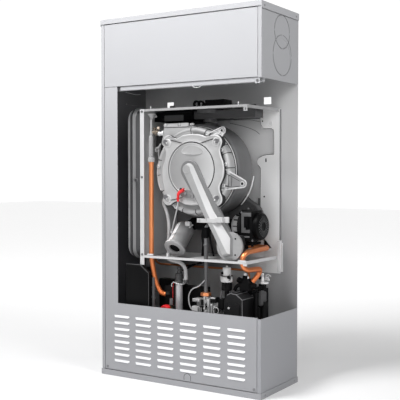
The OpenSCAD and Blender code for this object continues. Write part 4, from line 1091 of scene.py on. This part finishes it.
SX, SY = 218.0, 178.0                    # the pressure sensor's axis, which is upright
nipple = [(6, 0), (5.5, 14), (4, 17), (3, 19), (4.6, 22), (4.6, 26), (3, 28.5), (0, 29)]
piece("sensor_white", [
    turned([(13, 0), (14.5, 1), (14.5, 4), (13, 5.5), (0, 6)], (SX - 2, SY, 318), UP, 36),
    turned(nipple, (SX - 8, SY, 323), UP, 24)
], WHITE, stands="pressure_sensor")
piece("sensor_black", [
    stud((SX - 8, SY, 298), UP, 32, (12, 18)), stud((SX - 8, SY - 14, 306), FRONT, 20, (6, 10)),
    stud((SX - 13, SY - 4, 336), FRONT, 20, (5, 8))
], BLACK, 0.8)
piece("sensor_clip", [
    tube([(SX + 2, SY, 328), (SX + 4, SY, 344), (SX + 12, SY + 2, 348), (SX + 20, SY + 4, 342)], 1.5, 3, 8),
    tube([(SX + 8, SY, 328), (SX + 14, SY + 2, 334), (SX + 12, SY + 2, 342)], 1.3, 3, 8),
    box(SX + 4, SY - 2, 332, SX + 11, SY + 4, 340), stud((SX + 15, SY - 2, 332), FRONT, 16, (4, 6))
], LIGHT, 0.4)

piece("turret", [
    stud((205, 122, 314), UP, 32, (13, 8), (11.5, 10)), box(163, 112, 300, 198, 136, 338),
    stud((181, 118, 336), UP, 28, (8, 10), (6, 12)),
    stud((168, 116, 330), (-0.5, -0.6, 0.4), 24, (9, 12), (7, 14)), box(150, 150, 284, 190, 190, 298),
    tube([(164, 118, 320), (152, 112, 312), (146, 112, 300)], 6, 10, 14)
], BLACK, 1.2)
piece("turret_tip", [
    turned([(3.2, 0), (4.8, 2), (4.8, 7), (3, 10), (0, 10.5)], (181, 118, 346), UP, 20),
    stud((195, 112, 340), UP, 16, (2.5, 7))
], WHITE)

diverter = round_rect(227, 240, 256, 299, 5, 6)
nose = [(233 + (a - 233) * 0.9, 277 + (b - 277) * 0.95) for a, b in diverter]
piece("diverter_case", [
    skin((diverter, 149.5), (diverter, 122), (nose, 118.5)), box(229, 120, 299, 237, 138, 303)
], GREY_DARK, 1.0, stands="diverter_motor")


def ribbed_knob(x, z, r, y0, y1, count):
    """A hand knob with ribs round it and a dished front."""
    rim = []
    for i in range(count * 6):
        a = 2 * math.pi * i / (count * 6)
        rr = r - 1.3 * (0.5 - 0.5 * math.cos(a * count)) ** 2
        rim.append((x + rr * math.cos(a), z + rr * math.sin(a)))
    dish = [(scaled(rim, k, x, z), y0 + y) for k, y in ((0.93, 0.6), (0.7, 0), (0.6, 2), (0.2, 2.2))]
    return skin((rim, y1), (rim, y0 + 3), *dish)


piece("safety_knob_cap", [
    ribbed_knob(-78, 227, 15.5, 44, 63, 10), box(-91, 42.5, 224.5, -65, 46, 229.5)
], RED, 0.5, stands="safety_knob", body="safety_knob")
piece("drain_stub", [stud((-56, 70, 226), UP, 18, (4, 14))], BLACK)
piece("drain_plug", [turned([(5.5, 0), (6, 1), (6, 20), (4, 22), (0, 22)], (-68, 72, 240), UP, 24)], GREY)

# ---------------------------------------------------------------- controller

panel = [(-216, 95), (-126, 95), (-126, 344.5), (-159, 369.5), (-216, 369.5)]
piece("controller_box", [
    skin((panel, 42), (panel, 25.5), (scaled(panel, 0.985, -171, 232), 24)),
    box(-210, 42, 100, -156, 96, 359.5), slab(round_rect(-206, -136, 110, 216, 6), 22.8, 24.2)
], BLACK, 1.0, stands="controller_case")
rim = at_depth(26, [(-216, 370), (-159, 370), (-125.5, 345), (-125.5, 100)])
piece("controller_rim", [tube(rim, 0.9, 2, 8)], GREY_DARK)
piece("controller_post", [
    box(-120, 38, 60, -112, 44, 330), box(-124, 40, 296, -110, 48, 300), box(-124, 40, 262, -110, 48, 270)
], GREY_DARK, 0.6)
for knob, z in (("heating_knob", 200), ("water_knob", 150)):
    grip = ribbed_knob(-171, z, 14, 12, 23.6, 14)
    pointer = box(-172, 11.2, z + 3, -170, 13, z + 12)
    piece(knob + "_grip", [grip, pointer], LIGHT, 0.4, stands=knob, body=knob)

# ---------------------------------------------------------------- flue

plug = [(6, 0), (12, 0), (12, 8), (6, 8), (6, 0)]
piece("flue_collar_ring", [
    turned([(40, 0), (56, 0), (57, 1), (57, 4), (54, 6), (40, 6)], (36, 145, 874.5), UP),
    box(38, 108, 876, 108, 160, 901), turned(plug, (8, 110, 889), FRONT, 28),
    turned(plug, (28, 106, 888), FRONT, 28), stud((214, 100, 874), UP, 28, (13, 5), (11, 6)),
    box(146, 96, 874, 164, 110, 883), turned([(0, 0), (5, 0), (5, 6), (0, 6)], (-60, 140, 874), UP, 20)
], BLACK, 0.6, stands="flue_collar")
piece("roof_strip", [box(-117, 104, 874.2, -65, 116, 878.5)], GREY, 0.4)
dress(BLACK_MATT, 1.5, "flue_ducts")
# the ducts stay near black on the left, partly their own black and partly painted shade, and are dark grey to
# the right
paint_faces(nodes["flue_ducts"], (GREY_DARK,), lambda centre, normal: int(centre.x > -0.008))
tab = at_depth(1.5, [(60, 936), (64, 931), (76, 929), (88, 931), (92, 936)])
piece("cover_tabs", [tube(tab, 1.0, 4, 8)], LIGHT)
# painted highlights: light streaks at the slot edges on the left wall's inside face
piece("wall_slot_highlights", [
    tube([(-296.9, 131, 945), (-296.9, 159, 943), (-296.9, 188, 941), (-296.9, 217, 944)], 0.9, 6, 8),
    tube([(-296.9, 134, 905), (-296.9, 165, 903.6), (-296.9, 217, 904)], 0.9, 6, 8)
], WHITE)
piece("flue_box_front", [slab(round_rect(-117, -42, 838, 857, 3), 105, 108)], GREY_DARK, 0.8)
piece("recess_lines", [
    tube(at_depth(238.6, [(55, 833), (98, 824), (131, 814), (154, 804), (166, 794)]), 0.8, 8, 6),
    tube(at_depth(238.6, [(69, 843), (131, 842), (166, 835)]), 0.7, 6, 6)
], PLATE_DARK)
# painted shade in a gap of the plate
piece("plate_gap_shade", [box(161, 238.4, 538, 169, 240, 587)], PLATE_EDGE_SHADE)
piece("hook_left", [box(-187, 238, 880, -169, 242, 901)], PLATE_DARK, 0.5)
piece("plate_rail", [
    box(-83, 224, 843, 164, 228, 869), box(160, 220, 843, 176, 226, 869), box(-60, 228, 850, -40, 243, 860),
    box(120, 228, 850, 140, 243, 860)
], PLATE_DARK, 0.6)

# ---------------------------------------------------------------- floor, light and background

FLOOR_HALF = 12
corners = [(-FLOOR_HALF, -FLOOR_HALF, 0), (FLOOR_HALF, -FLOOR_HALF, 0), (FLOOR_HALF, FLOOR_HALF, 0),
           (-FLOOR_HALF, FLOOR_HALF, 0)]
floor_mesh = bpy.data.meshes.new("floor")
floor_mesh.from_pydata(corners, [], [(0, 1, 2, 3)])
floor_mesh.materials.append(FLOOR)
floor = bpy.data.objects.new("floor", floor_mesh)
floor.location.z = -0.0005
bpy.context.collection.objects.link(floor)


def area_light(name, at, target, size, power):
    """A square lamp that looks at a target."""
    data = bpy.data.lights.new(name, "AREA")
    data.energy = power
    data.size = size
    obj = bpy.data.objects.new(name, data)
    obj.location = at
    obj.rotation_euler = (Vector(target) - Vector(at)).to_track_quat("-Z", "Y").to_euler()
    bpy.context.collection.objects.link(obj)


area_light("key", (-0.6, -1.35, 2.6), (0.05, -0.1, 0.8), 0.9, 64)
area_light("fill", (1.6, -2.9, 1.5), (0, 0, 0.8), 1.6, 26)
area_light("side", (2.5, -0.8, 2.3), (0.2, 0, 0.75), 1.0, 30)

# the sky is white where the camera looks and grey elsewhere
world = bpy.data.worlds.new("studio")
world.use_nodes = True
sky = world.node_tree.nodes["Background"].inputs
sky["Color"].default_value = (1, 1, 1, 1)
fade = along(world.node_tree, (-0.5357, 0.8437, -0.034), 0.72, 0.93, 0.18, 1.05, "Generated")
world.node_tree.links.new(fade, sky["Strength"])
bpy.context.scene.world = world
bpy.context.scene.view_settings.view_transform = "Standard"
